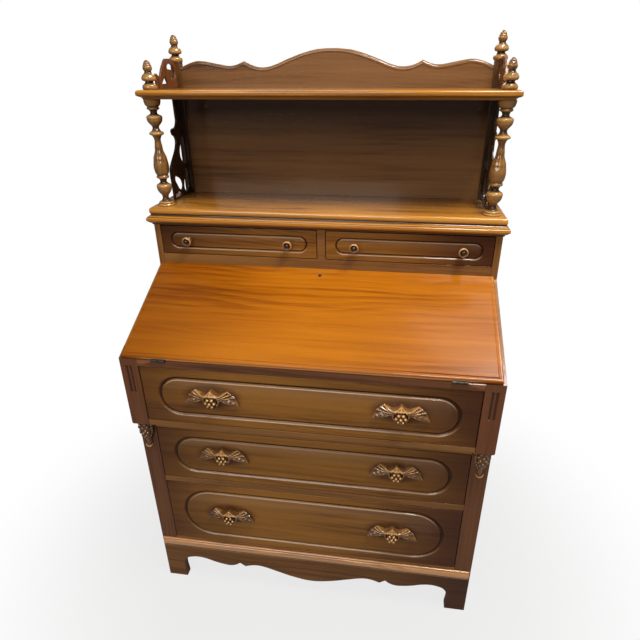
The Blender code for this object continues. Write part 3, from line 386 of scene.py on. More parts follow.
def evaluated(obj):
    bpy.context.view_layer.update()
    graph = bpy.context.evaluated_depsgraph_get()
    return bpy.data.meshes.new_from_object(obj.evaluated_get(graph), preserve_all_data_layers=True,
                                           depsgraph=graph)


def baked(obj):
    mesh = evaluated(obj)
    obj.modifiers.clear()
    obj.data = mesh
    return mesh


def finished(node, mesh, material=None, grain="x", shift=None, sharp=38, weighted=True, bevel=0.0):
    obj = linked(node + "_piece", mesh)
    if bevel:
        ease = obj.modifiers.new("Ease", "BEVEL")
        ease.width = bevel
        ease.segments = 2
        ease.limit_method = "ANGLE"
        ease.angle_limit = ARRIS
        ease.use_clamp_overlap = False
        mesh = baked(obj)
    mesh.polygons.foreach_set("use_smooth", [True] * len(mesh.polygons))
    mesh.set_sharp_from_angle(angle=math.radians(sharp))
    if weighted:
        even = obj.modifiers.new("Even", "WEIGHTED_NORMAL")
        even.keep_sharp = True
        mesh = baked(obj)
    turn = GRAIN[grain] if isinstance(grain, str) else grain
    where = points_of(mesh) @ np.array(turn).T + np.array(shift or shift_of(node))
    set_values(mesh, "plank", "FLOAT_VECTOR", where)
    mesh.materials.clear()
    mesh.materials.append(material or FALLBACK[SLOT[node]])
    mesh.name = obj.name
    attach(obj, BODY[node])
    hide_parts(node)
    return obj


def companion(node, suffix, mesh, material, slot, **manner):
    piece = finished(node, mesh, material, **manner)
    piece.name = node + suffix


def cad_copy(node):
    bm = as_bmesh(frame["nodes"][node].data)
    bmesh.ops.remove_doubles(bm, verts=bm.verts, dist=SAME_POINT)
    bmesh.ops.dissolve_limit(bm, angle_limit=math.radians(1), verts=bm.verts, edges=bm.edges)
    return to_mesh(bm, node)


def long_edges_eased(bm, width, shortest, keep_sharp=None):
    arrises = [e for e in bm.edges if e.calc_length() > shortest and e.calc_face_angle(0) > ARRIS]
    arrises = [e for e in arrises if not (keep_sharp and keep_sharp(e))]
    bmesh.ops.bevel(bm, geom=arrises, offset=width, segments=2, profile=0.5, affect="EDGES",
                    clamp_overlap=False)


def lofted(rings):
    bm = bmesh.new()
    loops = [[bm.verts.new(p) for p in ring] for ring in rings]
    bm.faces.new(list(reversed(loops[0])))
    bm.faces.new(loops[-1])
    for low, high in zip(loops, loops[1:]):
        for i in range(len(low)):
            j = (i + 1) % len(low)
            bm.faces.new((low[i], low[j], high[j], high[i]))
    return bm


print("grain directions", ", ".join(GRAIN))

# %% [markdown]
# ## Boards
# Hand-planed boards never have knife edges. The plain boards keep their CAD shape and get a fine rounding,
# which is what catches the light along every rail and stile. On the blocks and the writing bed only the
# long edges are eased, because at their small cuts a rounding would run into itself.

# %% Case boards
BLOCK_CORNER = 5.0 * MM
CUT_DARK = 0.27
CUT_FLOOR = 12 * MM
CUT_MARGIN = 5 * MM


def rounded_block(label):
    low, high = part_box("block_" + label)
    outer = low.x if label == "left" else high.x
    bm = as_bmesh(cad_copy("block_" + label))
    corner = [e for e in bm.edges
              if all(abs(v.co.z - low.z) < 0.1 * MM and abs(v.co.x - outer) < 0.1 * MM for v in e.verts)]
    bmesh.ops.bevel(bm, geom=corner, offset=BLOCK_CORNER, segments=4, profile=0.5, affect="EDGES")
    long_edges_eased(bm, 0.6 * MM, 30 * MM)
    block = to_mesh(bm, "block")
    x, y, z = points_of(block).T
    cut = np.abs(x - (low.x + high.x) / 2) < 0.4 * (high.x - low.x)
    cut &= (y > low.y + 0.8 * MM) & (y < low.y + CUT_FLOOR)
    cut &= (z > low.z + CUT_MARGIN) & (z < high.z - CUT_MARGIN)
    # Points inside the flutes are darker
    set_values(block, "hollow", "FLOAT", np.where(cut, CUT_DARK, PLAIN))
    print("block", label, "cut points", int(cut.sum()))
    return block


for label, _ in SIDES:
    finished("side_" + label, cad_copy("side_" + label), grain="z_side", bevel=1.0 * MM)
    finished("stile_" + label, cad_copy("stile_" + label), grain="z", bevel=1.2 * MM)
    finished("block_" + label, rounded_block(label), BLOCKS, grain="z")
for name in ("bottom_board", "rail_1", "rail_2", "small_drawer_deck"):
    finished(name, cad_copy(name), grain="x_flat", bevel=0.8 * MM)
bed = as_bmesh(cad_copy("writing_bed"))
long_edges_eased(bed, 0.8 * MM, 100 * MM)
finished("writing_bed", to_mesh(bed, "writing_bed"), DARK, grain="x_flat")
finished("case_back", cad_copy("case_back"), grain="z", bevel=0.8 * MM)
for number in (1, 2, 3):
    name = "drawer_%d_box" % number
    finished(name, cad_copy(name), grain="x_flat", bevel=1.0 * MM)
print("boards done")

# %% [markdown]
# ## Drawn curves
# Scrolled edges and moulding profiles are drawn as a few knots, as on a maker's paper pattern, and
# Blender's Bezier curves join them. A knot is two coordinates and a mark: 1 keeps a corner, 0 flows on. A
# closed outline can also be filled and given thickness, for a plate with rounded edges.

# %% Curve helpers
PLANES = {
    "XZ": Matrix(((1, 0, 0, 0), (0, 0, -1, 0), (0, 1, 0, 0), (0, 0, 0, 1))),
    "YZ": Matrix(((0, 0, 1, 0), (1, 0, 0, 0), (0, 1, 0, 0), (0, 0, 0, 1))),
}


def curve_mesh(outlines, closed, resolution, thick=0.0, edge=0.0):
    curve = bpy.data.curves.new("line", "CURVE")
    curve.dimensions = "2D" if thick else "3D"
    curve.resolution_u = resolution
    if thick:
        curve.fill_mode = "BOTH"
        curve.extrude = thick / 2 - edge
        curve.bevel_depth = edge
        curve.bevel_resolution = 2
        curve.offset = -edge
    for outline in outlines:
        spline = curve.splines.new("BEZIER")
        spline.bezier_points.add(len(outline) - 1)
        for knot, (a, b, corner) in zip(spline.bezier_points, outline):
            knot.co = (a, b, 0)
            knot.handle_left_type = knot.handle_right_type = "VECTOR" if corner else "AUTO"
        spline.use_cyclic_u = closed
        spline.resolution_u = resolution
    holder = linked("line", curve)
    mesh = evaluated(holder)
    bpy.data.objects.remove(holder, do_unlink=True)
    return mesh


def flowing(knots, closed=False, resolution=8):
    return [tuple(p) for p in points_of(curve_mesh([knots], closed, resolution))[:, :2]]


def rounded_plate(outlines, plane, near, far, edge):
    bm = as_bmesh(curve_mesh(outlines, True, 8, abs(far - near), edge))
    bmesh.ops.remove_doubles(bm, verts=bm.verts, dist=0.01 * MM)
    middle = (near + far) / 2
    shift = Matrix.Translation((0, middle, 0) if plane == "XZ" else (middle, 0, 0))
    bmesh.ops.transform(bm, matrix=shift @ PLANES[plane], verts=bm.verts)
    return to_mesh(bm, "plate")


print("a curve of two knots has", len(flowing([(0, 0, 0), (1, 1, 0)])), "points")

# %% [markdown]
# ## Long drawers
# The fronts have one ornament, a round-bottomed groove that runs in a long oval. Today a router guided by a
# template would cut it. Here the whole front is one loft of rings: back edge, face edge, both lips of the
# groove, and the field inside it. Every ring has the same number of points, so a rectangle can flow into an
# oval.

# %% Drawer fronts
GROOVE_TURN = 24
GROOVE_MARGIN, GROOVE_END = 25.0 * MM, 39.5 * MM
GROOVE_SECTION = [
    (6.4, 0.0), (5.7, 0.2), (4.7, 0.8), (3.6, 1.8), (2.3, 3.1), (0.8, 4.1), (-0.8, 4.5), (-2.4, 4.2),
    (-3.7, 3.3), (-4.6, 2.1), (-5.1, 1.0), (-5.5, 0.3), (-6.1, 0.0),
]
GROOVE_DEEP = 4.5
LIP_WEAR, GROOVE_DIRT = 0.52, 0.34
# Strength of the painted highlight on groove walls that face up
UPWARD_HIGHLIGHT = 0.55
EDGE_ROUND = [(0.0, 1.6), (0.12, 0.9), (0.47, 0.36), (1.0, 0.08), (1.7, 0.0)]
HALO_DROP = 24 * MM


def oval(x0, x1, z0, z1, depth):
    radius = (z1 - z0) / 2
    ring = []
    for centre, start in ((x1 - radius, -math.pi / 2), (x0 + radius, math.pi / 2)):
        for i in range(GROOVE_TURN + 1):
            angle = start + math.pi * i / GROOVE_TURN
            ring.append((centre + radius * math.cos(angle), depth, (z0 + z1) / 2 + radius * math.sin(angle)))
    return ring


def oblong(x0, x1, z0, z1, depth, inner):
    quarter = GROOVE_TURN // 4
    ring = []
    for side in (1, -1):
        end, start = (x1, inner[1]) if side > 0 else (x0, inner[0])
        low, high = (z0, z1) if side > 0 else (z1, z0)
        for i in range(GROOVE_TURN + 1):
            if i < quarter:
                ring.append((start + (end - start) * i / quarter, depth, low))
            elif i <= 3 * quarter:
                ring.append((end, depth, low + (high - low) * (i - quarter) / (2 * quarter)))
            else:
                ring.append((end + (start - end) * (i - 3 * quarter) / quarter, depth, high))
    return ring


def grooved_front(low, high, thick, margin, end_margin, scale=1.0):
    x0, x1, z0, z1, face = low.x, high.x, low.z, high.z, low.y
    gx0, gx1, gz0, gz1 = x0 + end_margin, x1 - end_margin, z0 + margin, z1 - margin
    radius = (gz1 - gz0) / 2
    inner = (gx0 + radius, gx1 - radius)
    rings = [oblong(x0, x1, z0, z1, face + thick, inner)]
    for inset, drop in EDGE_ROUND:
        d = inset * MM
        rings.append(oblong(x0 + d, x1 - d, z0 + d, z1 - d, face + drop * MM, inner))
    flat_rings = len(rings)
    for out, drop in GROOVE_SECTION:
        d = out * scale * MM
        rings.append(oval(gx0 - d, gx1 + d, gz0 - d, gz1 + d, face + drop * scale * MM))
    mesh = to_mesh(lofted(rings), "front")
    profile_tone = [PLAIN] * flat_rings
    profile_tone += [LIP_WEAR - GROOVE_DIRT * drop / GROOVE_DEEP for _, drop in GROOVE_SECTION]
    # Groove walls that face up get a painted highlight
    facing_up = np.maximum(normals_of(mesh)[:, 2], 0)
    facing_up[:flat_rings * len(rings[0])] = 0
    set_values(mesh, "hollow", "FLOAT", np.repeat(profile_tone, len(rings[0])) + UPWARD_HIGHLIGHT * facing_up)
    return mesh


for number in (1, 2, 3):
    name = "drawer_%d_front" % number
    low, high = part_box(name)
    front = grooved_front(low, high, high.y - low.y, GROOVE_MARGIN, GROOVE_END)
    halo_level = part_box("drawer_%d_pull_left" % number)[1].z - HALO_DROP
    set_values(front, "pull_level", "FLOAT", np.full(len(front.vertices), halo_level))
    finished(name, front, FRONT, grain="x", sharp=50)
print("drawer fronts", GROOVE_TURN, "steps in each half oval")

# %% [markdown]
# ## Small drawers
# The pair under the cornice repeat the groove at a smaller scale. Their plain trays are of the pale wood
# that makers kept for parts that stay out of sight. A tray is one loft: up the outside, over the rim and
# down inside.

# %% Small drawers
TRAY_WALL = 12.0 * MM
TRAY_LIP = 1.5 * MM
TRAY_FLOOR = 7.0 * MM
TRAY_DROP = 1.0 * MM
FRONT_THICK = 20.0 * MM
FRONT_TALL = 70.0 * MM
SMALL_MARGIN, SMALL_END, SMALL_SCALE = 16.45 * MM, 24.5 * MM, 0.6


def rectangle(x0, x1, y0, y1, z):
    return [(x0, y0, z), (x1, y0, z), (x1, y1, z), (x0, y1, z)]


for label, _ in SIDES:
    name = "small_drawer_" + label
    low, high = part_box(name)
    front_low = Vector((low.x, low.y, high.z - FRONT_TALL))
    front = grooved_front(front_low, high, FRONT_THICK, SMALL_MARGIN, SMALL_END, SMALL_SCALE)
    finished(name, front, FRONT, grain="x", sharp=50)
    y0, top = low.y + FRONT_THICK, high.z - TRAY_DROP
    outside = (low.x, high.x, y0, high.y)
    within = (low.x + TRAY_WALL, high.x - TRAY_WALL, y0 + TRAY_LIP, high.y - TRAY_WALL)
    stages = ((outside, low.z), (outside, top), (within, top), (within, low.z + TRAY_FLOOR))
    tray = to_mesh(lofted([rectangle(*box, z) for box, z in stages]), name)
    companion(name, "_tray", tray, PINE, "pine", grain="x_flat", bevel=0.6 * MM)
print("small drawers with trays", len(SIDES))

# %% [markdown]
# ## Turned work
# Posts, finials and knobs came off a lathe. A table lists the turner's swells and necks from the bottom up:
# height, radius, and how the wood gets there, as a wave (s), a flare that ends in a crisp edge (f), a round
# shoulder (c) or a flare that rolls over at its end (b). The profile is spun with many sides. The vase of
# each post is then fluted, as a carver would with a gouge, by pressing ten hollows into its upper half.

# %% Lathe
EASES = {
    "s": lambda t: (1 - math.cos(math.pi * t)) / 2,
    "c": lambda t: math.sin(math.pi / 2 * t),
    "f": lambda t: 1 - math.cos(math.pi / 2 * t),
    "b": lambda t: math.sin(math.pi / 2 * t * t * (3 - 2 * t)),
}
TIP_RADIUS = 0.2 * MM
NEAR_SWELL_SCALE, FAR_SWELL_SCALE, FLUTE_DARK_SCALE = 4.6 * MM, 15.0 * MM, 5.0 * MM


def turning(table, height, radius, spacing):
    rise = height / table[-1][0]
    swell = radius / max(row[1] for row in table)
    profile = [(table[0][1], 0)]
    for (h0, r0, _), (h1, r1, kind) in zip(table, table[1:]):
        count = max(2, round((h1 - h0) / spacing))
        ease = EASES[kind]
        for i in range(1, count + 1):
            t = i / count
            mixed = ease(t) if r1 > r0 else 1 - ease(1 - t)
            profile.append((r0 + (r1 - r0) * mixed, h0 + (h1 - h0) * t))
    return [(max(r * swell, TIP_RADIUS), h * rise) for r, h in profile]


def spun(profile, segments, place, knob=False, carve=None):
    rings = []
    for r, h in profile:
        ring = []
        for i in range(segments):
            a = 2 * math.pi * i / segments
            radius = r - carve(a, h) if carve else r
            u, v = radius * math.cos(a), radius * math.sin(a)
            ring.append((u, -h, v) if knob else (u, v, h))
        rings.append([Vector(p) + place for p in ring])
    return lofted(rings)


def turning_wear_and_light(profile, segments, carve, blur):
    # Wear and painted light: a swell standing out from the average radius near it is lightened, as wear and
    # painted highlight, a neck sunk below it is darkened as painted shade, and flutes are darker still
    r, h = np.array(profile).T
    height = np.zeros(len(r))
    for reach, scale in ((blur, NEAR_SWELL_SCALE), (3 * blur, FAR_SWELL_SCALE)):
        share = np.exp(-((h[:, None] - h) / reach) ** 2)
        height += (r - share @ r / share.sum(1)) / scale
    values = np.repeat(PLAIN + 0.5 * np.clip(height, -1, 1), segments)
    if carve:
        cuts = [carve(2 * math.pi * i / segments, at) for at in h for i in range(segments)]
        values -= np.array(cuts) / FLUTE_DARK_SCALE
    return values


print("lathe with", len(EASES), "kinds of cut")

# %% [markdown]
# ## Posts, finials and knobs
# The tables are in millimetres. Flutes fade in above the vase's belly and out below its neck, and the bud
# of each finial is cut across with a fine lattice. A rear post is a square shaft with a small cove worked
# at each corner, and a finial on top of it.

# %% Turned pieces
POST = [
    (0, 19.2, "s"), (2.2, 20.2, "c"), (4.6, 19.0, "c"), (5.4, 16.6, "f"), (7.0, 17.6, "c"),
    (9.4, 16.2, "c"), (13, 10.0, "f"), (20, 7.3, "f"), (26, 9.0, "f"), (42, 17.4, "c"),
    (46.5, 18.0, "c"), (51, 16.0, "c"), (58, 7.6, "f"), (62, 8.6, "f"), (66.5, 14.2, "f"),
    (69, 14.8, "c"), (71.5, 13.8, "c"), (73, 12.8, "f"), (83, 16.8, "c"), (93, 18.0, "c"),
    (108, 16.2, "c"), (135, 9.2, "s"), (153, 7.2, "s"), (161, 9.6, "f"), (166, 15.8, "f"),
    (168.4, 16.8, "c"), (171, 15.4, "c"), (176, 9.4, "f"), (181, 7.4, "f"), (186, 9.4, "f"),
    (199, 17.4, "c"), (203, 18.1, "c"), (207, 16.2, "c"), (213, 7.6, "f"), (217, 8.6, "f"),
    (221, 13.6, "f"), (223, 14.2, "c"), (226, 12.6, "s"), (233, 17.6, "c"), (239, 19.0, "c"),
    (242, 19.0, "s"),
]
FINIAL = [
    (0, 15.0, "s"), (4.5, 16.6, "c"), (9.5, 15.0, "c"), (11.5, 12.6, "s"), (16.5, 8.6, "f"),
    (18.6, 13.8, "f"), (23, 16.0, "c"), (28.5, 14.0, "c"), (35, 8.0, "s"), (37.7, 7.3, "s"),
    (41.5, 9.6, "c"), (44.5, 10.4, "c"), (49, 9.0, "s"), (54, 7.2, "s"), (58, 4.4, "c"), (60.3, 0, "c"),
]
KNOB = [
    (0, 8.5, "s"), (2, 8.5, "s"), (7, 5.8, "f"), (13.5, 11.3, "b"), (15, 11.5, "s"), (17.6, 10.2, "c"),
    (18.3, 8.6, "s"), (17.0, 7.2, "s"), (16.6, 5.6, "s"), (19.4, 4.6, "f"), (20.7, 2.6, "c"),
    (21, 0, "c"),
]
POST_RADIUS, FINIAL_RADIUS, KNOB_RADIUS = 20.2 * MM, 16.6 * MM, 11.5 * MM
POST_SIDES, FINIAL_SIDES, KNOB_SIDES = 80, 56, 48
POST_SPACING, KNOB_SPACING = 0.9, 0.5
POST_BLUR, KNOB_BLUR = 6 * MM, 2 * MM
KNOB_DULL = 0.12
FLUTES, FLUTE_DEEP = 10, 0.9 * MM
BUD_CUTS, BUD_DEEP, BUD_TWIST = 7, 0.4 * MM, 0.9
SHAFT_CORNER = [(8.2, 12), (8.6, 11.3), (9.2, 11.3), (9.5, 11.9), (10.8, 11.7), (11.7, 10.8)]
SHAFT_LAP = 1.2 * MM
# Painted shade on the rear posts' shafts, for the top half and the foot
SHAFT_TOP_SHADE, SHAFT_FOOT_SHADE = 0.30, 0.10


def ramp(amount):
    return min(1, max(0, amount))


def vase_flutes(angle, height):
    up = height / MM
    fade = ramp((up - 92) / 14) * ramp((150 - up) / 16)
    return FLUTE_DEEP * fade * (0.5 + 0.5 * math.cos(FLUTES * angle)) ** 0.8


def bud_cuts(angle, height):
    up = height / MM
    fade = ramp((up - 46) / 3) * ramp((60 - up) / 2)
    twist = BUD_TWIST * up
    weave = max(math.sin(BUD_CUTS * angle + twist), math.sin(BUD_CUTS * angle - twist))
    return BUD_DEEP * fade * (1 - weave)


def turned(name, table, radius, segments, carve=None, knob=False):
    low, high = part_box(name)
    middle = (low + high) / 2
    if knob:
        tall, foot = high.y - low.y, Vector((middle.x, high.y, middle.z))
    else:
        tall, foot = high.z - low.z, Vector((middle.x, middle.y, low.z))
    profile = turning(table, tall, radius, KNOB_SPACING if knob else POST_SPACING)
    mesh = to_mesh(spun(profile, segments, foot, knob, carve), name)
    values = turning_wear_and_light(profile, segments, carve, KNOB_BLUR if knob else POST_BLUR)
    set_values(mesh, "hollow", "FLOAT", values - KNOB_DULL if knob else values)
    finished(name, mesh, CARVED if knob else TURNED, grain="z", weighted=False)
    return profile


def rear_post(name, profile):
    low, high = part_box(name)
    x, y = (low.x + high.x) / 2, (low.y + high.y) / 2
    shoulder = high.z - profile[-1][1]
    bm = spun(profile, FINIAL_SIDES, Vector((x, y, shoulder)), carve=bud_cuts)
    corner = SHAFT_CORNER + [(b, a) for a, b in reversed(SHAFT_CORNER[:-1])]
    section = []
    for c, s in ((1, 0), (0, 1), (-1, 0), (0, -1)):
        section += [(c * a - s * b, s * a + c * b) for a, b in reversed(corner)]
    shaft = [[(x + a * MM, y + b * MM, z) for a, b in section] for z in (low.z, shoulder + SHAFT_LAP)]
    bm.from_mesh(to_mesh(lofted(shaft), name))
    post = to_mesh(bm, name)
    # Painted shade on the shaft: dark in its upper half and darker in its lower half
    values = np.where(points_of(post)[:, 2] > (low.z + high.z) / 2, SHAFT_TOP_SHADE, SHAFT_FOOT_SHADE)
    values[:len(profile) * FINIAL_SIDES] = turning_wear_and_light(profile, FINIAL_SIDES, bud_cuts, POST_BLUR)
    set_values(post, "hollow", "FLOAT", values)
    finished(name, post, TURNED, grain="z", weighted=False)


for label, _ in SIDES:
    turned("front_post_" + label, POST, POST_RADIUS, POST_SIDES, vase_flutes)
    finial_profile = turned("front_finial_" + label, FINIAL, FINIAL_RADIUS, FINIAL_SIDES, bud_cuts)
    for end in ("inner", "outer"):
        turned("small_knob_%s_%s" % (label, end), KNOB, KNOB_RADIUS, KNOB_SIDES, knob=True)
    rear_post("rear_post_" + label, finial_profile)
print("turned pieces with", FLUTES, "flutes on each vase")

# %% [markdown]
# ## Copies by rule
# Grapes and screws are one shape set many times. A Geometry Nodes tree does it: every point of a mesh gets
# a copy of a shape, turned to face the point's `facing` vector, sized by its `size`, with a little change
# by a fixed seed. The result is made real and kept as a plain mesh.

# %% Geometry Nodes tree for copies
FULL_TURN = 6.283
COPY_INPUTS = (
    ("Geometry", "Geometry"), ("Shape", "Object"), ("Finish", "Material"), ("Variation", "Float"),
    ("Seed", "Int"),
)


def copies_tree():
    tree = bpy.data.node_groups.new("set_copies", "GeometryNodeTree")
    tree.interface.new_socket("Geometry", in_out="OUTPUT", socket_type="NodeSocketGeometry")
    for title, kind in COPY_INPUTS:
        tree.interface.new_socket(title, in_out="INPUT", socket_type="NodeSocket" + kind)
    nodes = Nodes(tree)
    given = nodes.add("NodeGroupInput").outputs()

    def named(name, kind):
        return nodes.add("GeometryNodeInputNamedAttribute", {"data_type": kind}, {"Name": name}, "Attribute")

    def chance(low, high):
        return nodes.add("FunctionNodeRandomValue", {"data_type": "FLOAT"},
                         {2: low, 3: high, "Seed": given["Seed"]}, 1)

    aim = nodes.add("FunctionNodeAlignRotationToVector", {"axis": "Z"},
                    {"Vector": named("facing", "FLOAT_VECTOR")})
    spin = nodes.add("FunctionNodeAxisAngleToRotation", None, {"Angle": chance(0.0, FULL_TURN)})
    turn = nodes.add("FunctionNodeRotateRotation", {"rotation_space": "LOCAL"},
                     {"Rotation": aim, "Rotate By": spin})
    shape = nodes.add("GeometryNodeObjectInfo", {"transform_space": "ORIGINAL"},
                      {"Object": given["Shape"]}, "Geometry")
    scale = named("size", "FLOAT") * chance(1 - given["Variation"], 1.0)
    placed = nodes.add("GeometryNodeInstanceOnPoints", None,
                       {"Points": given["Geometry"], "Instance": shape, "Rotation": turn, "Scale": scale})
    real = nodes.add("GeometryNodeRealizeInstances", None, {"Geometry": placed})
    painted = nodes.add("GeometryNodeSetMaterial", None, {"Geometry": real, "Material": given["Finish"]})
    nodes.add("NodeGroupOutput", None, {"Geometry": painted})
    return tree


COPIES = copies_tree()
SHAPES = bpy.data.collections.new("shapes")


def copies(points, facings, sizes, shape, material, variation, seed):
    mesh = bpy.data.meshes.new("points")
    mesh.from_pydata([tuple(p) for p in points], [], [])
    set_values(mesh, "facing", "FLOAT_VECTOR", facings)
    set_values(mesh, "size", "FLOAT", sizes)
    holder = linked("points", mesh)
    rule = holder.modifiers.new("Copies", "NODES")
    rule.node_group = COPIES
    keys = {item.name: item.identifier for item in COPIES.interface.items_tree if item.in_out == "INPUT"}
    rule[keys["Shape"]] = shape
    rule[keys["Finish"]] = material
    rule[keys["Variation"]] = variation
    rule[keys["Seed"]] = seed
    made = evaluated(holder)
    bpy.data.objects.remove(holder, do_unlink=True)
    return made


ball = bmesh.new()
bmesh.ops.create_uvsphere(ball, u_segments=14, v_segments=9, radius=1)
grape = bpy.data.objects.new("grape_shape", to_mesh(ball, "grape"))
SHAPES.objects.link(grape)
print("copies tree with", len(COPIES.nodes), "nodes")

# %% [markdown]
# ## Carved relief
# A carver works a block from the front, so a carving can be told as a relief, a height above the drawer at
# every point inside an outline. Points are spread over the outline's inside and joined into triangles. Then
# they are raised, and the rim is drawn back to the drawer with a slight undercut.

# %% Relief helpers
ROW_RISE = 0.87
EDGE_ROOM, GUIDE_ROOM = 0.6, 0.55


def inside(outline, spots):
    found = np.zeros(len(spots), bool)
    x, z = spots[:, 0], spots[:, 1]
    for (x0, z0), (x1, z1) in zip(outline, np.roll(outline, -1, 0)):
        crosses = (z0 > z) != (z1 > z)
        span = z1 - z0 if z1 != z0 else 1e-9
        found ^= crosses & (x < (x1 - x0) * (z - z0) / span + x0)
    return found


def along(path, x, z):
    # How far along the path the nearest point lies, from 0 to 1, and its distance
    line = np.array(path)
    gap = (x[:, None] - line[:, 0]) ** 2 + (z[:, None] - line[:, 1]) ** 2
    near = gap.argmin(1)
    return near / (len(line) - 1), np.sqrt(gap[np.arange(len(x)), near])


def resampled(path, spacing):
    line = np.array(path)
    line = np.vstack([line, line[:1]])
    run = np.concatenate([[0], np.cumsum(np.hypot(*np.diff(line, axis=0).T))])
    at = np.arange(0, run[-1] - spacing / 2, spacing)
    return np.stack([np.interp(at, run, line[:, 0]), np.interp(at, run, line[:, 1])], 1)


def relief(outline, spacing, height, undercut, guides):
    low, high = outline.min(0), outline.max(0)
    rows = []
    for k, z in enumerate(np.arange(low[1], high[1], spacing * ROW_RISE)):
        xs = np.arange(low[0] + spacing * (k % 2) / 2, high[0], spacing)
        rows.append(np.stack([xs, np.full(len(xs), z)], 1))
    grid = np.vstack(rows)
    grid = grid[inside(outline, grid)]
    for path, room in ((outline, EDGE_ROOM), (guides, GUIDE_ROOM)):
        grid = grid[along(path, grid[:, 0], grid[:, 1])[1] > spacing * room]
    spots = [Vector(p) for p in np.vstack([outline, guides, grid])]
    count = len(outline)
    border = [(i, (i + 1) % count) for i in range(count)]
    spots, _, faces = delaunay_2d_cdt(spots, border, [], 1, 1e-5)[:3]
    flat = np.array([tuple(p) for p in spots])
    tall = height(flat[:, 0], flat[:, 1], along(outline, flat[:, 0], flat[:, 1])[1])
    bm = bmesh.new()
    verts = [bm.verts.new((x, -h, z)) for (x, z), h in zip(flat, tall)]
    for face in faces:
        bm.faces.new([verts[i] for i in face])
    rim = [e for e in bm.edges if len(e.link_faces) == 1]
    grown = bmesh.ops.extrude_edge_only(bm, edges=rim)["geom"]
    middle = (low + high) / 2
    for vert in (g for g in grown if isinstance(g, bmesh.types.BMVert)):
        vert.co = (vert.co.x * undercut, 0, middle[1] + (vert.co.z - middle[1]) * undercut)
    back = [e for e in bm.edges if len(e.link_faces) == 1]
    bmesh.ops.triangle_fill(bm, edges=back, use_beauty=True)
    return bm


def surface_wear_and_light(mesh, scale, passes):
    # Wear and painted light: a point standing out from its smoothed surroundings is lightened, as wear and
    # painted highlight, and a sunken point is darkened as painted shade
    edges = np.zeros(len(mesh.edges) * 2, "i")
    mesh.edges.foreach_get("vertices", edges)
    a, b = edges.reshape(-1, 2).T
    place = points_of(mesh).astype(float)
    count = np.bincount(edges, minlength=len(place))[:, None] + 1
    smooth = place.copy()
    for _ in range(passes):
        total = smooth.copy()
        np.add.at(total, a, smooth[b])
        np.add.at(total, b, smooth[a])
        smooth = total / count
    rise = ((place - smooth) * normals_of(mesh)).sum(1)
    return PLAIN + 0.5 * np.clip(rise / scale, -1, 1)


print("relief rows rise by", ROW_RISE, "of their spacing")

# %% [markdown]
# ## The pull's drawing
# Each pull is a spray of vine: a folded wing leaf and a long leaf on either side, a hood in the middle, and
# a bunch of grapes below it. One half is drawn, in millimetres from the middle, and mirrored. A rib is a
# path with its height at both ends and the radius of its ridge, and a grape is a place and a radius.

# %% Draw the pull
PULL_EDGE = [
    (0, 20.5, 1), (3.5, 17.5, 0), (8, 12.5, 0), (13, 8.4, 0), (18, 7, 0), (24, 8.2, 0), (31, 11.5, 0),
    (38, 16, 1), (40, 12.6, 0), (43.5, 11.4, 0), (47, 9.5, 1), (47.6, 5.6, 0), (51, 3.6, 0), (55, 1, 1),
    (55.8, -4, 0), (59.8, -12, 0), (65, -21.5, 1), (56, -22.2, 0), (46, -20, 0), (36, -16.2, 0),
    (27, -11.6, 0), (20.8, -8.6, 0), (18.2, -12, 0), (16.6, -18, 0), (12.2, -24, 0), (6.2, -27.4, 0),
    (0, -28.4, 0),
]
SHOULDER = np.array([row[:2] for row in PULL_EDGE[:8]])
RIB_STEPS = 16
LEAF_RIB = flowing([(20, -4.5, 0), (34, -8.5, 0), (50, -14, 0), (64.4, -21, 0)], resolution=RIB_STEPS)
LEAF_RIM = flowing([(20.6, -7.6, 0), (30, -12.2, 0), (44, -18, 0), (56, -20.8, 0), (64.4, -21.3, 0)],
                   resolution=RIB_STEPS)
MIDDLE_RIB = flowing([(18, 0, 0), (30, 3.4, 0), (46.4, 9.2, 0)], resolution=RIB_STEPS)
LOW_RIB = flowing([(18.5, -2.4, 0), (34, -1.8, 0), (54.4, 0.8, 0)], resolution=RIB_STEPS)
CALYX = flowing([
    (15.2, 3, 0), (17, -4, 0), (16.9, -12, 0), (14.8, -19.4, 0), (10.4, -24.6, 0), (5, -27, 0), (0, -27.6, 0),
], resolution=10)
RIBS = [
    (MIDDLE_RIB, 15.4, 7.2, 1.0), (LOW_RIB, 14.2, 6.6, 0.9), (LEAF_RIM, 10.2, 6.2, 0.9),
    (CALYX, 16.0, 10.0, 1.1),
]
GRAPES = [
    (4.9, -2.6, 4.6), (0, -10.8, 4.8), (9.6, -10.8, 4.6), (4.9, -19, 4.6), (13.6, -4.0, 3.2),
    (13.1, -17.6, 3.2), (0, -25.2, 3.4),
]
print("pull drawn with", len(PULL_EDGE), "knots and", len(RIBS), "ribs in each half")

# %% [markdown]
# ## The pull's heights
# Ribs are rounded ridges along curves, blades sink between them, veins are scratched in, and the rim is
# rolled over. The crease is the folded top edge of the wings. In front of it the hood and leaves swell
# forward, and behind it a wall falls back to the drawer.

# %% Heights of the pull
DIP, TIP = 17.5, 38.0
HOOD_TALL = 10.0
BEAD, BEAD_RISE = 2.6, 0.8
BED_LOW, BED_RISE = 5, 14.5
BUNCH_WIDE, BUNCH_TALL, BUNCH_DOWN = 15.2, 16.2, 11
VEIN_WIDE, ROLL_WIDE = 0.7, 0.7
LEAST = 1.0


def rib(path, x, z, start, stop, radius):
    t, d = along(path, x, z)
    return start + (stop - start) * t - d * d / (2 * radius)


def crease_of(far):
    inner = np.sin(math.pi / 2 * np.clip(far / DIP, 0, 1))
    outer = np.clip((far - DIP) / (TIP - DIP), 0, 1)
    line = 17.2 - 12.4 * inner ** 1.2 + 10.2 * outer ** 1.4
    height = 12.5 + 3.0 * inner - 9.5 * outer ** 1.1
    return line, height


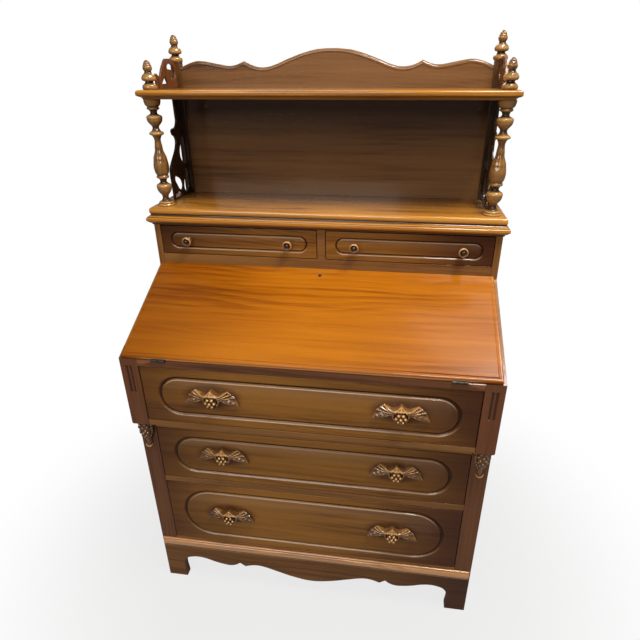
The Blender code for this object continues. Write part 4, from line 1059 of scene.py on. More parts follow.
def bunch_bed(x, z):
    round_off = 1 - (x / BUNCH_WIDE) ** 2 - ((z + BUNCH_DOWN) / BUNCH_TALL) ** 2
    return BED_LOW + BED_RISE * np.sqrt(np.clip(round_off, 0, 1))


def arch_of(far):
    return 6.0 - 0.016 * far ** 2 + 1.2 * np.abs(np.sin(math.pi * far / 5.6))


def long_leaf(far, z):
    t, d = along(LEAF_RIB, far, z)
    q = d / (7.0 * np.sin(np.pi * np.clip(0.15 + 0.82 * t, 0, 1)) ** 0.6 + 0.4)
    lobes = np.cos(2 * np.pi * (4.5 * t - 0.5 * q)) * np.clip(q * (1 - q), 0, 1)
    vein = 1.3 * np.exp(-(d / VEIN_WIDE) ** 2)
    blade = 8.8 - 3.6 * t + 3.2 * (1 - np.clip(q, 0, 1) ** 2) + 2.4 * lobes - vein
    return blade - 9 * np.clip(q - 1.02, 0, 1)


def pull_height(x, z, rim):
    far = np.abs(x)
    crease, crest = crease_of(far)
    shoulder = np.interp(far, SHOULDER[:, 0], SHOULDER[:, 1])
    web = np.where(far > TIP, 4.2, crest - 3.2 - 0.30 * (crease - z)) + 0.4 * np.cos(0.7 * far + 1.1 * z)
    leaf = np.maximum(long_leaf(far, z), np.where((far > 16) & (z > -1.8 - 0.02 * far), web, 2.5))
    bed = bunch_bed(far, z)
    leaf = np.where(bed > BED_LOW + 0.2, np.minimum(leaf, bed), leaf)
    for path, start, stop, radius in RIBS:
        leaf = np.maximum(leaf, rib(path, far, z, start, stop, radius))
    fold = 1.2 * np.sin(np.pi * np.clip(far / 15, 0, 1)) ** 2
    hood = crest + HOOD_TALL * (1 - np.exp(-(crease - z) / 6.0)) - fold * np.clip((crease - z) / 3, 0, 1)
    capped = np.clip((DIP - far) / 5, 0, 1)
    hooded = leaf + capped * (np.maximum(hood, leaf) - leaf)
    leaf = np.where((z > arch_of(far)) & (z <= crease), hooded, leaf)
    bead = crest + BEAD_RISE - (z - crease) ** 2 / BEAD
    leaf = np.where(far < TIP, np.maximum(leaf, bead), leaf)
    up = np.clip((z - crease) / np.maximum(shoulder - crease, 0.5), 0, 1)
    wall = np.maximum((crest + BEAD_RISE) * (1 - up ** 1.6), bead)
    tall = np.where((z > crease) & (far < TIP), wall, np.maximum(leaf, bed))
    return np.maximum(tall - 2.0 * np.exp(-(rim / ROLL_WIDE) ** 2), LEAST)


print("crease falls from", float(crease_of(0)[0]), "to", round(float(crease_of(DIP)[0]), 2), "mm")

# %% [markdown]
# ## Carving the pull
# The relief is made once, with its grapes set on the finished bed. Guides put rows of points right on the
# crease and on the hood's lip, so that both stay crisp. Then every point gets wear and painted light: ridges,
# bead and hood get painted highlights, the wall stays plain, and painted shade sits behind the grapes.

# %% Carve the pull
PULL_SPACING, GUIDE_SPACING = 0.75, 0.6
UNDERCUT = 0.94
LIP_HALF = 14.7
GRAPE_SUNK = 0.45
GRAPE_VARIATION, GRAPE_SEED = 0.05, 7
RISE_SCALE, SMOOTH_PASSES = 1.8, 14
TIP_DULL = 41


def pull_wear_and_light(mesh, carved_count):
    x, _, up = points_of(mesh).T
    normals = normals_of(mesh)
    far = np.abs(x)
    crease, arch = crease_of(far)[0], arch_of(far)
    winged = far < TIP
    # Ridges are bright with wear and painted highlight, faces turned up get a painted highlight, cuts get
    # dirt and painted shade, and the tips are duller than the rest
    pull_tone = 0.42 + 1.5 * (surface_wear_and_light(mesh, RISE_SCALE, SMOOTH_PASSES) - 0.5)
    pull_tone = np.clip(pull_tone + 0.16 * np.clip(normals[:, 2], 0, 1), 0.26, np.where(far > TIP_DULL, 0.60, 0.85))
    # Plain wall, painted shade on the bed behind the grapes, painted highlights on the calyx and the bead
    pull_tone = np.where((up > crease) & winged, np.clip(pull_tone, 0.40, 0.52), pull_tone)
    pull_tone[(bunch_bed(far, up) > BED_LOW + 1) & (up < arch)] = 0.28
    pull_tone = np.where(along(CALYX, far, up)[1] < 1.2, 0.70, pull_tone)
    pull_tone = np.maximum(pull_tone, 0.86 * np.exp(-((up - crease) / 2.2) ** 2) * winged)
    # A painted highlight brightens the hood toward its lip
    fallen = np.clip((crease - up) / np.maximum(crease - arch, 1), 0, 1)
    hooded = (0.60 + 0.30 * fallen ** 2) * np.clip((17 - far) / 4, 0, 1)
    pull_tone = np.where((up > arch) & (up < crease), np.maximum(pull_tone, hooded), pull_tone)
    # Painted highlights make the grapes shine where they face up and forward
    facing_light = 0.65 * normals[:, 2] - 0.75 * normals[:, 1]
    pull_tone[carved_count:] = 0.30 + 0.60 * np.clip((facing_light[carved_count:] - 0.5) / 0.4, 0, 1)
    return pull_tone


drawn = PULL_EDGE + [(-x, z, c) for x, z, c in reversed(PULL_EDGE[1:-1])]
pull_outline = resampled(flowing(drawn, closed=True, resolution=10), PULL_SPACING)
ridge = np.arange(0.9 - TIP, TIP - GUIDE_SPACING, GUIDE_SPACING)
lip = np.arange(-LIP_HALF, LIP_HALF + GUIDE_SPACING / 2, GUIDE_SPACING)
guides = [np.stack([ridge, crease_of(np.abs(ridge))[0]], 1)]
guides += [np.stack([lip, arch_of(np.abs(lip)) + offset], 1) for offset in (0.15, -0.15)]
bm = relief(pull_outline, PULL_SPACING, pull_height, UNDERCUT, np.vstack(guides))
carved_count = len(bm.verts)
spots, sizes = [], []
for x, z, size in GRAPES:
    for way in ((1, -1) if x else (1,)):
        spots.append((way * x, -GRAPE_SUNK * size - float(bunch_bed(x, z)), z))
        sizes.append(size)
facings = [(0.05 * x, -1, 0.03 * (z + BUNCH_DOWN)) for x, _, z in spots]
bm.from_mesh(copies(spots, facings, sizes, grape, CARVED, GRAPE_VARIATION, GRAPE_SEED))
pull_mesh = to_mesh(bm, "pull")
set_values(pull_mesh, "hollow", "FLOAT", pull_wear_and_light(pull_mesh, carved_count))
pull_mesh.transform(Matrix.Scale(MM, 4))
print("pull", len(pull_mesh.polygons), "faces", "outline", len(pull_outline), "grapes", len(spots))

# %% [markdown]
# ## Setting the pulls
# All six pulls are copies of the one carving. On the real desk they seem to have been set by eye: those of
# the second drawer sit a little high and those of the third a little low.

# %% Set the pulls on the drawers
PULL_LIFT = {1: 0, 2: 5, 3: -1}
PULL_TOP = PULL_EDGE[0][1]
for number, lift in PULL_LIFT.items():
    for label, _ in SIDES:
        name = "drawer_%d_pull_%s" % (number, label)
        low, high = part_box(name)
        pull = pull_mesh.copy()
        middle = ((low.x + high.x) / 2, high.y, high.z + (lift - PULL_TOP) * MM)
        pull.transform(Matrix.Translation(middle))
        finished(name, pull, CARVED, grain="x", weighted=False, sharp=55)
print("pulls set on", len(PULL_LIFT), "drawers")

# %% [markdown]
# ## Corbels
# Under each block hangs a carved drop: a bunch of berries over a cup that narrows to a neck, and a curled
# tendril below. The cup is a half-round loft, given by depth down, half width and how far it stands out.
# The berries are copies laid on it in staggered rows, each with its depth, its count and its radius.

# %% Corbels
CUP = [
    (0.3, 14, 19), (6, 15.4, 22.6), (14, 16, 23.6), (26, 15.8, 23.6), (38, 14.2, 21.5), (50, 11, 16.5),
    (58, 8.6, 12.5), (64, 7.6, 10.2), (70, 7.4, 9.6), (78, 6, 8.4), (84, 4, 6.4), (87.7, 1.6, 3.6),
]
CUP_SIDES, CUP_ROWS = 28, 60
BERRY_ROWS = [
    (8, 4, 4.4), (16, 5, 4.8), (24.5, 4, 5.0), (33, 5, 4.6), (41, 4, 4.2), (48.5, 3, 3.8),
    (55.5, 2, 3.2),
]
BERRY_SUNK = 0.96
BERRY_VARIATION, BERRY_SEED = 0.1, 3
TENDRIL = [(-9.0, 73), (-6.6, 77.6), (-2.4, 80.2), (2.4, 80.2), (6.6, 77.6), (9.0, 73)]
TENDRIL_SIDES = 10
BERRY_DULL, BERRY_BRIGHT = 0.40, 0.46
BUNCH_SHADE, NECK_WEAR, TENDRIL_HIGHLIGHT = 0.34, 0.42, 0.85
NECK_DOWN = 56
CORBEL_LIFT = 0.3 * MM
cup_wide = np.array(flowing([(d, w, 0) for d, w, _ in CUP]))
cup_deep = np.array(flowing([(d, p, 0) for d, _, p in CUP]))


def cup_at(down, angle):
    w = np.interp(down, cup_wide[:, 0], cup_wide[:, 1])
    p = np.interp(down, cup_deep[:, 0], cup_deep[:, 1])
    return Vector((w * math.cos(angle), -p * math.sin(angle), -down))


def swept(path, radii):
    spots = [Vector(p) for p in path]
    angles = [2 * math.pi * k / TENDRIL_SIDES for k in range(TENDRIL_SIDES)]
    rings = []
    reference = None
    for i, (spot, radius) in enumerate(zip(spots, radii)):
        a = (spots[min(i + 1, len(spots) - 1)] - spots[max(i - 1, 0)]).normalized()
        u = a.orthogonal() if reference is None else reference - a * reference.dot(a)
        u.normalize()
        reference = u
        v = a.cross(u)
        rings.append([spot + radius * (math.cos(k) * u + math.sin(k) * v) for k in angles])
    return lofted(rings)


angles = [math.pi * i / CUP_SIDES for i in range(CUP_SIDES + 1)]
bm = lofted([[cup_at(d, a) for a in angles] for d in np.linspace(CUP[0][0], CUP[-1][0], CUP_ROWS)])
cup_count = len(bm.verts)
berries, facings, sizes = [], [], []
for down, count, size in BERRY_ROWS:
    for k in range(count):
        spot = cup_at(down, math.pi * (k + 0.5) / count)
        berries.append(spot * BERRY_SUNK)
        facings.append((spot.x, spot.y, 0))
        sizes.append(size)
bm.from_mesh(copies(berries, facings, sizes, grape, CARVED, BERRY_VARIATION, BERRY_SEED))
berry_count = len(bm.verts)
tendril = flowing([(x, d, 0) for x, d in TENDRIL])
bow = [math.sin(math.pi * i / (len(tendril) - 1)) for i in range(len(tendril))]
path = [(x, -7.2 - 3.4 * b, -d) for (x, d), b in zip(tendril, bow)]
bm.from_mesh(to_mesh(swept(path, [0.6 + 1.3 * b for b in bow]), "tendril"))
corbel_mesh = to_mesh(bm, "corbel")
outward = points_of(corbel_mesh) * (1, 1, 0)
outward /= np.maximum(np.linalg.norm(outward, axis=1), 1e-6)[:, None]
normals = normals_of(corbel_mesh)
# Painted highlights on the berries where they face out and up, painted shade on the cup between them, and a
# painted highlight along the tendril
facing_light = (outward * normals).sum(1) + 0.5 * normals[:, 2]
values = BERRY_DULL + BERRY_BRIGHT * np.clip((facing_light - 0.98) / 0.16, 0, 1)
on_bunch = points_of(corbel_mesh)[:cup_count, 2] > -NECK_DOWN
values[:cup_count] = np.where(on_bunch, BUNCH_SHADE, NECK_WEAR)
values[berry_count:] = TENDRIL_HIGHLIGHT
set_values(corbel_mesh, "hollow", "FLOAT", values)
corbel_mesh.transform(Matrix.Scale(MM, 4))
for label, _ in SIDES:
    name = "corbel_" + label
    low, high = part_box(name)
    corbel = corbel_mesh.copy()
    corbel.transform(Matrix.Translation(((low.x + high.x) / 2, high.y, high.z + CORBEL_LIFT)))
    finished(name, corbel, CARVED, grain="z", weighted=False, sharp=50)
print("corbel", len(corbel_mesh.polygons), "faces", len(berries), "berries")

# %% [markdown]
# ## Cornice and shelf
# Both edges were run with moulding planes, so each is one profile carried round its board. A ring for each
# point of the profile is enough; the corners are mitred and slightly rubbed. The cornice lists height in
# millimetres and reach in hundredths of its overhang, the shelf lists how far it stands back. A second
# table of each gives the tone by height: dirt and painted shade in the coves, painted highlights on the
# noses.

# %% Cornice and shelf
OVERHANG = 12 * MM
FRONT_SHARE = 1.16
CORNICE_RUB, SHELF_RUB = 1.2 * MM, 2.0 * MM
POST_NOTCH = 12.3 * MM
CORNICE = [
    (0, 21, 1), (3.6, 23, 1), (4, 42, 1), (8, 79, 0), (10.5, 97, 0), (13.7, 104, 0), (16.6, 97, 0),
    (18.6, 80, 1), (20.0, 76, 1), (21.5, 48, 0), (23.4, 29, 0), (24.9, 24, 1), (26.6, 26, 1),
    (27.4, 33, 1), (29.5, 38, 0), (33, 41, 0), (37, 36, 0), (39.6, 24, 0), (41, 4, 1),
]
CORNICE_DIRT_AND_LIGHT = [
    (0, 0.2), (3.8, 0.12), (5, 0.36), (9, 0.48), (13.7, 0.60), (17.4, 0.50), (18.7, 0.08), (19.9, 0.52),
    (20.8, 0.40), (23, 0.15), (26.4, 0.05), (27.4, 0.22), (28.4, 0.50), (33, 0.74), (38, 0.64),
    (41, 0.50),
]
SHELF = [
    (0, 11, 1), (2.5, 10, 0), (5, 7, 0), (6.5, 3, 0), (7.2, 2.6, 1), (7.6, 0.9, 1), (9.4, 0.1, 0),
    (12, 0, 0), (15, 0.2, 0), (17.5, 1.4, 0), (18.8, 3.6, 0), (19, 4.6, 1),
]
SHELF_DIRT_AND_LIGHT = [
    (0, 0.25), (5, 0.42), (6.6, 0.40), (7.4, 0.05), (8.2, 0.40), (12, 0.50), (16, 0.58), (19, 0.47),
]


def board_ring(half, front, back, z, rub, notch=None):
    ring = [(-half, front + rub), (-half + rub, front), (half - rub, front), (half, front + rub)]
    if notch:
        inner, start = notch
        ring += [(half, start), (inner, start), (inner, back)]
        ring += [(-inner, back), (-inner, start), (-half, start)]
    else:
        ring += [(half, back), (-half, back)]
    return [(x, y, z) for x, y in ring]


def cornice_ring(up, out):
    low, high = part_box("desk_top")
    reach = min(out, 100) / 100 * OVERHANG
    level = low.z + up / CORNICE[-1][0] * (high.z - low.z)
    front = low.y + (OVERHANG - reach) * FRONT_SHARE
    return board_ring(high.x - OVERHANG + reach, front, high.y, level, CORNICE_RUB)


def shelf_ring(up, back):
    low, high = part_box("shelf")
    post_low, post_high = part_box("rear_post_left")
    notch = (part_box("gallery_back")[1].x, (post_low.y + post_high.y) / 2 - POST_NOTCH)
    return board_ring(high.x - back * MM, low.y + back * MM, high.y, low.z + up * MM, SHELF_RUB, notch)


for name, profile, profile_tone, ring_at in (("desk_top", CORNICE, CORNICE_DIRT_AND_LIGHT, cornice_ring),
                                     ("shelf", SHELF, SHELF_DIRT_AND_LIGHT, shelf_ring)):
    path = flowing(profile, resolution=5)
    rings = [ring_at(*spot) for spot in path]
    board = to_mesh(lofted(rings), name)
    levels = np.interp([up for up, _ in path], *np.transpose(profile_tone))
    set_values(board, "hollow", "FLOAT", np.repeat(levels, len(rings[0])))
    finished(name, board, TOPS, grain="x_flat", sharp=30)
    print(name, "with", len(rings), "rings")

# %% [markdown]
# ## Base moulding
# The strip over the apron is a large round between two beads. Painted reflections make its rounds pale,
# and dirt with painted shade darkens its quirks. Its section is listed as depth behind the front and height.
# It is carried from end to end, and both ends turn back to the case in a quarter round.

# %% Base moulding
BEADS = [
    (7.7, 0, 1), (4.2, 0, 1), (3.2, 1.2, 0), (3.0, 2.4, 0), (3.6, 3.8, 1), (5.2, 4.4, 1), (5.2, 5.2, 1),
    (2.2, 6.4, 0), (0.4, 9.6, 0), (0, 13.6, 0), (0.4, 17.6, 0), (2.2, 21.2, 0), (4.6, 23.2, 1),
    (5.4, 23.8, 1), (5.4, 24.6, 1), (3.8, 25.4, 0), (3.2, 26.8, 0), (4.0, 28.2, 0), (6.9, 29, 1),
    (7.7, 29, 1),
]
BEAD_DIRT_AND_LIGHT = [
    (0, 0.3), (1, 0.42), (3, 0.42), (4.2, 0.05), (5.4, 0.05), (7, 0.56), (11, 0.72), (16, 0.66),
    (21, 0.54), (23, 0.46), (24.2, 0.34), (25.4, 0.85), (28, 0.80), (29, 0.3),
]
END_ROUND = 5.0 * MM
END_STEPS = 6
END_KEEP = 0.12
low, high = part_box("base_moulding")
section = [(low.y + a * MM, low.z + b * MM) for a, b in flowing(BEADS, resolution=5)]
rings = []
for side in (-1, 1):
    for i in range(END_STEPS + 1):
        angle = math.pi / 2 * (i if side > 0 else END_STEPS - i) / END_STEPS
        x = side * (high.x - END_ROUND + END_ROUND * math.sin(angle))
        keep = END_KEEP + (1 - END_KEEP) * math.cos(angle)
        rings.append([(x, high.y + (y - high.y) * keep, z) for y, z in section])
moulding = to_mesh(lofted(rings), "base_moulding")
levels = (points_of(moulding)[:, 2] - low.z) / MM
set_values(moulding, "hollow", "FLOAT", np.interp(levels, *np.transpose(BEAD_DIRT_AND_LIGHT)))
finished("base_moulding", moulding, BASE_WOOD, grain="x", sharp=30)
print("base moulding with", len(section), "points in its section")

# %% [markdown]
# ## Crest
# The back board rises to a scrolled crest with a rounded bead worked along it. Half of the crest's line is
# listed by distance from the middle and height over the shelf. The bead is made as a round cutter would
# leave it: each row of points lies as low as the cutter reaches at that distance from the line.

# %% Crest
CREST = [
    (0, 86.3, 0), (30, 85, 0), (60, 79.5, 0), (100, 67, 0), (120, 59.5, 0), (140, 52, 0),
    (167, 46.3, 0), (190, 49, 0), (205, 54.5, 0), (216, 60, 1), (226, 56, 0), (240, 51.5, 0),
    (256, 50, 0), (280, 53.5, 0), (305, 58, 0), (332, 61, 0), (350, 58, 0), (368, 52, 0),
    (379.7, 47, 1),
]
CREST_EDGE = [
    (0, 8.5), (0.5, 4.8), (1.9, 2.1), (4.2, 0.5), (6.6, 0.0), (8.2, 0.35), (8.8, 1.2), (9.6, 1.2),
]
CREST_SAMPLE = 0.4 * MM
BACK_EDGE = 0.6 * MM


def lowered(line, inset):
    if not inset:
        return line[:, 1]
    low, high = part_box("gallery_back")
    places = np.union1d(np.arange(low.x, high.x, CREST_SAMPLE), line[:, 0])
    gap = places - line[:, :1]
    under = np.interp(places, *line.T) - np.sqrt(np.maximum(inset ** 2 - gap ** 2, 0))
    return np.where(np.abs(gap) <= inset, under, high.z).min(1)


low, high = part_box("gallery_back")
knots = [(-x, h, c) for x, h, c in reversed(CREST[1:])] + CREST
line = np.array(flowing(knots)) * MM
line[:, 0] *= high.x / (CREST[-1][0] * MM)
line[:, 1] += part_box("shelf")[1].z
steps = [(BACK_EDGE, high.y), (0.0, high.y - BACK_EDGE)] + [(a * MM, low.y + b * MM) for a, b in CREST_EDGE]
bm = bmesh.new()
rows = [[bm.verts.new((x, y, z)) for x, z in zip(line[:, 0], lowered(line, inset))] for inset, y in steps]
for row, following in zip(rows, rows[1:]):
    for i in range(len(row) - 1):
        bm.faces.new((row[i], row[i + 1], following[i + 1], following[i]))
feet = [[bm.verts.new((x, y, low.z)) for x in (low.x, high.x)] for y in (steps[0][1], steps[-1][1])]
bm.faces.new(rows[0] + feet[0][::-1])
bm.faces.new(rows[-1] + feet[1][::-1])
bm.faces.new(feet[0] + feet[1][::-1])
for end in (0, -1):
    bm.faces.new([row[end] for row in rows] + [feet[1][end], feet[0][end]])
finished("gallery_back", to_mesh(bm, "gallery_back"), PANEL, grain="x", sharp=40)
print("crest line with", len(line), "points")

# %% [markdown]
# ## Apron and frets
# The scrolled apron and the pierced frets at the gallery's sides were cut with a fret saw, and their edges
# rounded over. Each is an outline, with openings where there are some, made into a plate with rounded
# edges. The frets are listed by distance from the back and height.

# %% Apron and frets
APRON = [
    (0, 42.5, 0), (50, 50, 0), (100, 65.5, 0), (130, 75, 0), (150, 78.3, 0), (168, 76, 0), (188, 69, 1),
    (203, 80, 1), (215, 71, 0), (232, 66, 0), (250, 67.5, 0), (275, 73, 0), (300, 81.5, 0),
    (325, 85, 0), (342, 82.5, 0), (356, 77, 0), (366.5, 62, 0), (367.5, 0, 1),
]
LOWER_FRET = [
    [(0, 0, 1), (0, 241.4, 1), (38, 241.4, 1), (37, 205, 0), (38, 183, 0), (50, 172, 0), (63, 170.5, 0),
     (72, 166, 0), (69, 157, 0), (58, 150, 0), (53, 142, 0), (56, 130, 0), (64, 119, 0), (82, 103, 0),
     (98, 89, 0), (106, 79, 0), (108, 64, 0), (107, 48, 0), (105.5, 28, 0), (105, 0, 1)],
    [(9, 152, 1), (27, 133, 0), (39, 104, 0), (30, 88, 0), (7, 78, 1), (4.5, 112, 0)],
    [(86, 55, 0), (70, 54, 0), (44, 34, 0), (47, 22, 0), (60, 20, 0), (78, 36, 0)],
    [(97, 9.5, 0), (80, 15, 0), (62, 13.5, 0), (59, 9, 0), (80, 5.5, 0)],
    [(27, 48, 0), (10, 67, 0), (7, 40, 0), (12, 12, 0), (32, 12, 0)],
]
UPPER_FRET = [
    [(0, 0, 1), (0, 55.5, 1), (12, 60.0, 0), (20, 63.4, 0), (41, 64.7, 0), (59, 63.3, 0), (70, 55, 0),
     (81.5, 44.6, 0), (92, 31, 0), (98, 24.5, 1), (106, 29, 0), (116, 33, 0), (120, 29, 0), (119, 16, 0),
     (118, 0, 1)],
    [(52, 45, 0), (45, 52.5, 0), (22, 50.5, 0), (9, 40, 0), (7.5, 31, 0), (13, 23, 0), (26, 18.5, 0),
     (31, 22, 0), (22, 31, 0), (26, 39, 0), (38, 41.5, 0)],
    [(69, 27, 1), (89, 11, 1), (58, 11, 1)],
]
APRON_EDGE, FRET_EDGE = 1.4 * MM, 1.3 * MM
low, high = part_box("apron_front")
scroll = [(x * MM, z * MM, c) for x, z, c in APRON]
outline = [(-x, z, c) for x, z, c in reversed(scroll)] + scroll[1:]
outline += [(high.x, 0, 1), (high.x, high.z, 1), (low.x, high.z, 1), (low.x, 0, 1)]
apron = rounded_plate([outline], "XZ", low.y, high.y, APRON_EDGE)
finished("apron_front", apron, APRON_WOOD, grain="x", sharp=35)
# The lower frets take the near-black walnut, painted shade under the shelf
for label, _ in SIDES:
    for name, loops, material in (("lower_fret_", LOWER_FRET, SHADED), ("upper_fret_", UPPER_FRET, DARK)):
        low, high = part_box(name + label)
        reach = (high.y - low.y) / max(row[0] for row in loops[0])
        outlines = [[(high.y - f * reach, low.z + h * MM, c) for f, h, c in loop] for loop in loops]
        fret = rounded_plate(outlines, "YZ", low.x, high.x, FRET_EDGE)
        finished(name + label, fret, material, grain="z_side", sharp=40)
print("apron and frets with", len(LOWER_FRET) + len(UPPER_FRET) - 2, "openings a side")

# %% [markdown]
# ## Lid
# The fall is one wide figured board with a thumbnail edge: a small step runs round the face and a quarter
# round falls away from it. The board's CAD shape already has the mortises for lock and hinges, so it is
# kept, cut along lines beside its four edges, and everything outside those lines is pressed down. Its long
# edges are then eased, but not those over the lock, where the bolt comes out. A painted highlight runs along
# the top of its front edge, with painted shade under it.

# %% Lid
LID_RUN, LID_RISE = 0.261, 0.128
LID_TURN = Matrix.Rotation(-math.atan2(LID_RISE, LID_RUN), 3, "X")
LID_BACK = LID_TURN.transposed()
HINGE = Vector(next(j for j in RECORD["behaviour"]["joints"] if j["name"] == "lid_hinge")["pos_m"])
LID_FACE, LID_INNER = 9.7 * MM, -9.3 * MM
STEP_IN, STEP_OUT, STEP_DEEP = 10.6 * MM, 9.9 * MM, 1.1 * MM
FALL_REACH = 6 * MM
FRONT_EDGE, FRONT_HIGHLIGHT, FRONT_UNDER_SHADE = 0.6 * MM, 0.9, 0.1
LID_SHIFT = (0.6, 0.03, -0.55)


def in_lid(point):
    return LID_TURN @ (point - HINGE)


def from_lid(x, u, n):
    return HINGE + LID_BACK @ Vector((x, u, n))


def over_lock(edge):
    return all(abs(in_lid(v.co).z) < 2 * MM for v in edge.verts)


bm = as_bmesh(cad_copy("lid"))
rim = [s for s in (in_lid(v.co) for v in bm.verts) if s.z > 0]
half = max(s.x for s in rim)
first, last = min(s.y for s in rim), max(s.y for s in rim)
for inset in (STEP_OUT, STEP_IN):
    for spot, way in (((half - inset, 0), (1, 0, 0)), ((inset - half, 0), (-1, 0, 0)),
                      ((0, last - inset), (0, 1, 0)), ((0, first + inset), (0, -1, 0))):
        top = [f for f in bm.faces if all(abs(in_lid(v.co).z - LID_FACE) < 0.1 * MM for v in f.verts)]
        parts = {g for f in top for g in (f, *f.edges, *f.verts)}
        bmesh.ops.bisect_plane(bm, geom=list(parts), dist=0.01 * MM, plane_co=from_lid(*spot, LID_FACE),
                               plane_no=LID_BACK @ Vector(way))
pressed = 0
for vert in bm.verts:
    x, u, n = in_lid(vert.co)
    reach = min(half - abs(x), u - first, last - u)
    if n > 5 * MM and reach < STEP_IN - 0.05 * MM:
        vert.co = from_lid(x, u, n - STEP_DEEP * min(1, reach / FALL_REACH))
        pressed += 1
long_edges_eased(bm, 0.4 * MM, 100 * MM, over_lock)
lid = to_mesh(bm, "lid")
# Painted highlight on the top of the front edge, painted shade under it
values = []
for vert in lid.vertices:
    _, u, n = in_lid(vert.co)
    at_front = u < first + FRONT_EDGE
    values.append(PLAIN if not at_front else FRONT_HIGHLIGHT if n > 0 else FRONT_UNDER_SHADE)
set_values(lid, "hollow", "FLOAT", values)
finished("lid", lid, grain=LID_TURN, shift=LID_SHIFT)
print("lid", round(2 * half, 4), "by", round(last - first, 4), "pressed", pressed)

# %% [markdown]
# ## Hinges, lock and stays
# All are worn steel with a slight rounding. Their slotted screws are copies of one head: two half moons
# with the slot between them, set on a disc. Each is turned by chance, as a joiner leaves them.

# %% Hardware
SLOT_HALF = 0.16
HEAD_STEPS, DISC_STEPS = 12, 24
HEAD_LEVELS = ((-0.3, 1), (0.03, 1), (0.10, 0.94))
DISC_LEVELS = ((-0.3, 1), (-0.16, 1), (-0.15, 0.99))
DISC_RADIUS = 0.97


def prism(angles, radius, levels):
    outline = [(radius * math.cos(a), radius * math.sin(a)) for a in angles]
    return to_mesh(lofted([[(x * s, y * s, z) for x, y in outline] for z, s in levels]), "prism")


for name in sorted(BODY):
    if SLOT[name] == "steel":
        finished(name, cad_copy(name), bevel=0.1 * MM if name == "lock_case" else 0.2 * MM)
bm = bmesh.new()
slot_turn = math.asin(SLOT_HALF)
sweep = math.pi - 2 * slot_turn
for start in (0, math.pi):
    angles = [start + slot_turn + sweep * i / HEAD_STEPS for i in range(HEAD_STEPS + 1)]
    bm.from_mesh(prism(angles, 1.0, HEAD_LEVELS))
bm.from_mesh(prism([2 * math.pi * i / DISC_STEPS for i in range(DISC_STEPS)], DISC_RADIUS, DISC_LEVELS))
screw = bpy.data.objects.new("screw_shape", to_mesh(bm, "screw"))
SHAPES.objects.link(screw)
print("screw head with", len(screw.data.polygons), "faces")

# %% [markdown]
# ## Screws
# Two screws hold each hinge leaf, stay bracket and stay guide, and four hold the lock. They are set in the
# faces that show when the lid is down, a little proud of the plate under them.

# %% Set the screws
LEAF_SCREWS = (("hinge_case_leaf_", -0.65 * MM, (0, 0, 1)), ("hinge_lid_leaf_", 0.8 * MM, (0, 0, -1)))
LEAF_APART, LEAF_BACK, LEAF_RADIUS = 10 * MM, 6 * MM, 2.3 * MM
BRACKET_PLACES = (90.5 * MM, 109.5 * MM)
BRACKET_OUT, BRACKET_THICK, BRACKET_RADIUS = 7 * MM, 1.8 * MM, 2.4 * MM
GUIDE_APART, GUIDE_FACE, GUIDE_RADIUS = 5.2 * MM, 2.7 * MM, 1.5 * MM
LOCK_APART, LOCK_FOOT, LOCK_HEAD, LOCK_RADIUS = 24 * MM, 8 * MM, 9 * MM, 2.7 * MM


def screws(node, spots, facing, radius, seed):
    heads = copies(spots, [facing] * len(spots), [radius] * len(spots), screw, STEEL, 0.0, seed)
    companion(node, "_screws", heads, STEEL, "steel", weighted=False, sharp=30)


into = LID_BACK @ Vector((0, 0, -1))
for number, (label, side) in enumerate(SIDES):
    for name, lift, facing in LEAF_SCREWS:
        low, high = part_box(name + label)
        middle = (low.x + high.x) / 2
        spots = [(middle + out, high.y - LEAF_BACK, HINGE.z + lift) for out in (-LEAF_APART, LEAF_APART)]
        screws(name + label, spots, facing, LEAF_RADIUS, 11 + number)
    low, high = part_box("stay_bracket_" + label)
    plate = side * (min(abs(low.x), abs(high.x)) + BRACKET_OUT)
    spots = [from_lid(plate, u, LID_INNER - BRACKET_THICK) for u in BRACKET_PLACES]
    screws("stay_bracket_" + label, spots, into, BRACKET_RADIUS, 21 + number)
    low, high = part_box("stay_guide_" + label)
    face = side * (max(abs(low.x), abs(high.x)) - GUIDE_FACE)
    middle = (low + high) / 2
    spots = [(face, middle.y, middle.z + up) for up in (-GUIDE_APART, GUIDE_APART)]
    screws("stay_guide_" + label, spots, (-side, 0, 0), GUIDE_RADIUS, 31 + number)
lengths = [in_lid(Vector(p)).y for p in points_of(frame["nodes"]["lock_case"].data)]
rows = (min(lengths) + LOCK_FOOT, max(lengths) - LOCK_HEAD)
spots = [from_lid(x, u, LID_INNER) for x in (-LOCK_APART, LOCK_APART) for u in rows]
screws("lock_case", spots, into, LOCK_RADIUS, 41)
print("lock screws", len(spots))

# %% [markdown]
# ## Light
# Two wide soft lights above the desk make the lid glow while the fronts stay deeper, and one in front fills
# them. A small one behind the gallery puts a sheen on the tops, and one far behind lights the back.

# %% Lamps
WARM = (1.0, 0.95, 0.88)
LAMPS = [
    ("top_light_left", (-0.45, -0.55, 3.0), (-0.2, -0.1, 0.75), 6, (1.0, 0.4), WARM),
    ("top_light_right", (0.80, -0.48, 2.9), (0.25, -0.1, 0.75), 60, (1.2, 0.4), WARM),
    ("front_light", (-0.7, -3.2, 2.4), (0, 0, 0.6), 50, (1.9, 1.2), (1.0, 0.96, 0.91)),
    ("sheen_light", (0.90, 0.46, 3.2), (0.35, -0.1, 0.8), 6, (0.9, 0.9), (1, 1, 1)),
    ("back_light", (-0.8, 2.9, 3.0), (0, 0.2, 0.6), 30, (1.6, 1.2), WARM),
]
for name, place, target, power, size, colour in LAMPS:
    light = bpy.data.lights.new(name, "AREA")
    light.shape = "RECTANGLE"
    light.size, light.size_y = size
    light.energy = power
    light.color = colour
    lamp = linked(name, light)
    lamp.location = place
    lamp.rotation_euler = (Vector(target) - Vector(place)).to_track_quat("-Z", "Y").to_euler()
print("lamps", len(LAMPS))

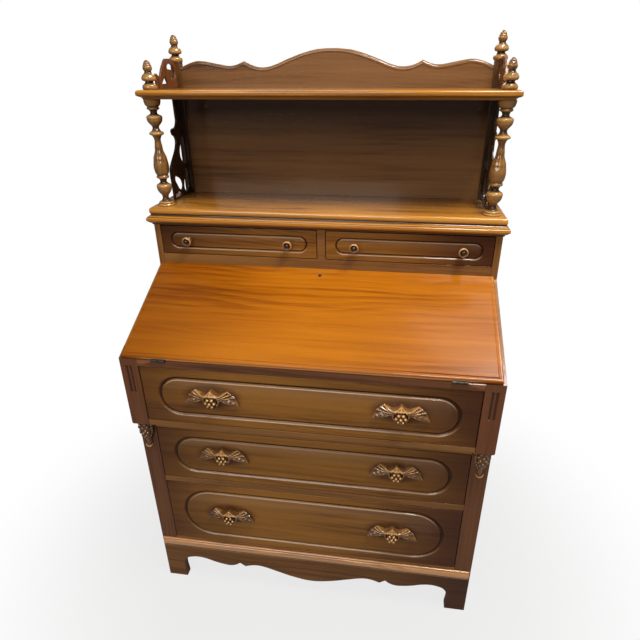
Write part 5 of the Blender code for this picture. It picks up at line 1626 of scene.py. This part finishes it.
# %% [markdown]
# ## Floor and sky
# The floor is pale and keeps the shadow; away from the desk it turns to plain white, and so is the sky. The
# camera sees that white in full. Reflections get only a small part of it, so that the varnish stays deep.

# %% Floor and sky
MIRRORED = 0.06
WHITE = (1, 1, 1, 1)
FLOOR_NEAR, FLOOR_FAR, FLOOR_WHITE = 0.45, 1.15, 0.78
FLOOR_SIZE = 12
SKY_FILL = 0.12


def backdrop_share(nodes):
    rays = nodes.add("ShaderNodeLightPath").outputs()
    mirrored = rays["Is Glossy Ray"].math("MAXIMUM", rays["Is Transmission Ray"])
    return rays["Is Camera Ray"].math("MAXIMUM", mirrored * MIRRORED)


sh = Shader("floor_pale")
x, y, z = sh.object_place()
away = (x * x + y * y).math("SQRT")
grit = sh.noise(x * 40, y * 40, z, 4.0)
soft = sh.add("ShaderNodeBsdfDiffuse", None, {"Color": sh.mix(grit, (0.25, 0.25, 0.25), (0.29, 0.29, 0.29))})
glow = sh.add("ShaderNodeEmission", None, {"Color": WHITE, "Strength": 1.0})
seen = away.step(FLOOR_NEAR, FLOOR_FAR, FLOOR_WHITE, 1.0) * backdrop_share(sh)
blend = sh.add("ShaderNodeMixShader", None, {0: seen, 1: soft, 2: glow})
sh.add("ShaderNodeOutputMaterial", None, {"Surface": blend})
sheet = bmesh.new()
bmesh.ops.create_grid(sheet, x_segments=4, y_segments=4, size=FLOOR_SIZE)
floor = linked("floor", to_mesh(sheet, "floor"))
floor.data.materials.append(sh.material)
floor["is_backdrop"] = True

world = bpy.data.worlds.new("studio")
bpy.context.scene.world = world
world.use_nodes = True
sky = Nodes(world.node_tree)
strength = backdrop_share(sky) * (1 - SKY_FILL) + SKY_FILL
white = sky.add("ShaderNodeBackground", None, {"Color": WHITE, "Strength": strength})
sky.add("ShaderNodeOutputWorld", None, {"Surface": white})
print("floor", 2 * FLOOR_SIZE, "m wide")

# %% [markdown]
# ## Camera
# The photograph's camera was worked out from pairs of matching points left and right. It stands a little
# right of the middle, just below the top of the desk, and looks down on the lid.

# %% Camera
CAMERA_PLACE = (0.18346, -1.13594, 1.31859)
CAMERA_YAW, CAMERA_PITCH, CAMERA_ROLL = -8.207, 26.488, -0.267
camera = bpy.data.cameras.new("camera")
camera.lens = 28.65
camera.shift_x = -0.0113
camera.shift_y = 0.0077
camera.clip_end = 60
eye = linked("camera", camera)
yaw, pitch, roll = (math.radians(a) for a in (CAMERA_YAW, CAMERA_PITCH, CAMERA_ROLL))
ahead = Vector((math.sin(yaw) * math.cos(pitch), math.cos(yaw) * math.cos(pitch), -math.sin(pitch)))
right = Vector((math.cos(yaw), -math.sin(yaw), 0))
up = right.cross(ahead)
across = math.cos(roll) * right + math.sin(roll) * up
above = -math.sin(roll) * right + math.cos(roll) * up
facing = Matrix((across, above, -ahead)).transposed().to_4x4()
eye.matrix_world = Matrix.Translation(CAMERA_PLACE) @ facing
bpy.context.scene.camera = eye
bpy.context.scene.view_settings.view_transform = "Standard"
print("camera at", [round(v, 3) for v in CAMERA_PLACE])

# %% [markdown]
# ## Sizes
# The box of the dressed model is printed, as the CAD model's box was at the start, so that a difference
# shows at once.

# %% Print the sizes and finish
shown_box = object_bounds()
sizes = {"cad": [list(c) for c in cad_box], "visual": [list(c) for c in shown_box]}
print("visual box", [round(v, 4) for corner in shown_box for v in corner])
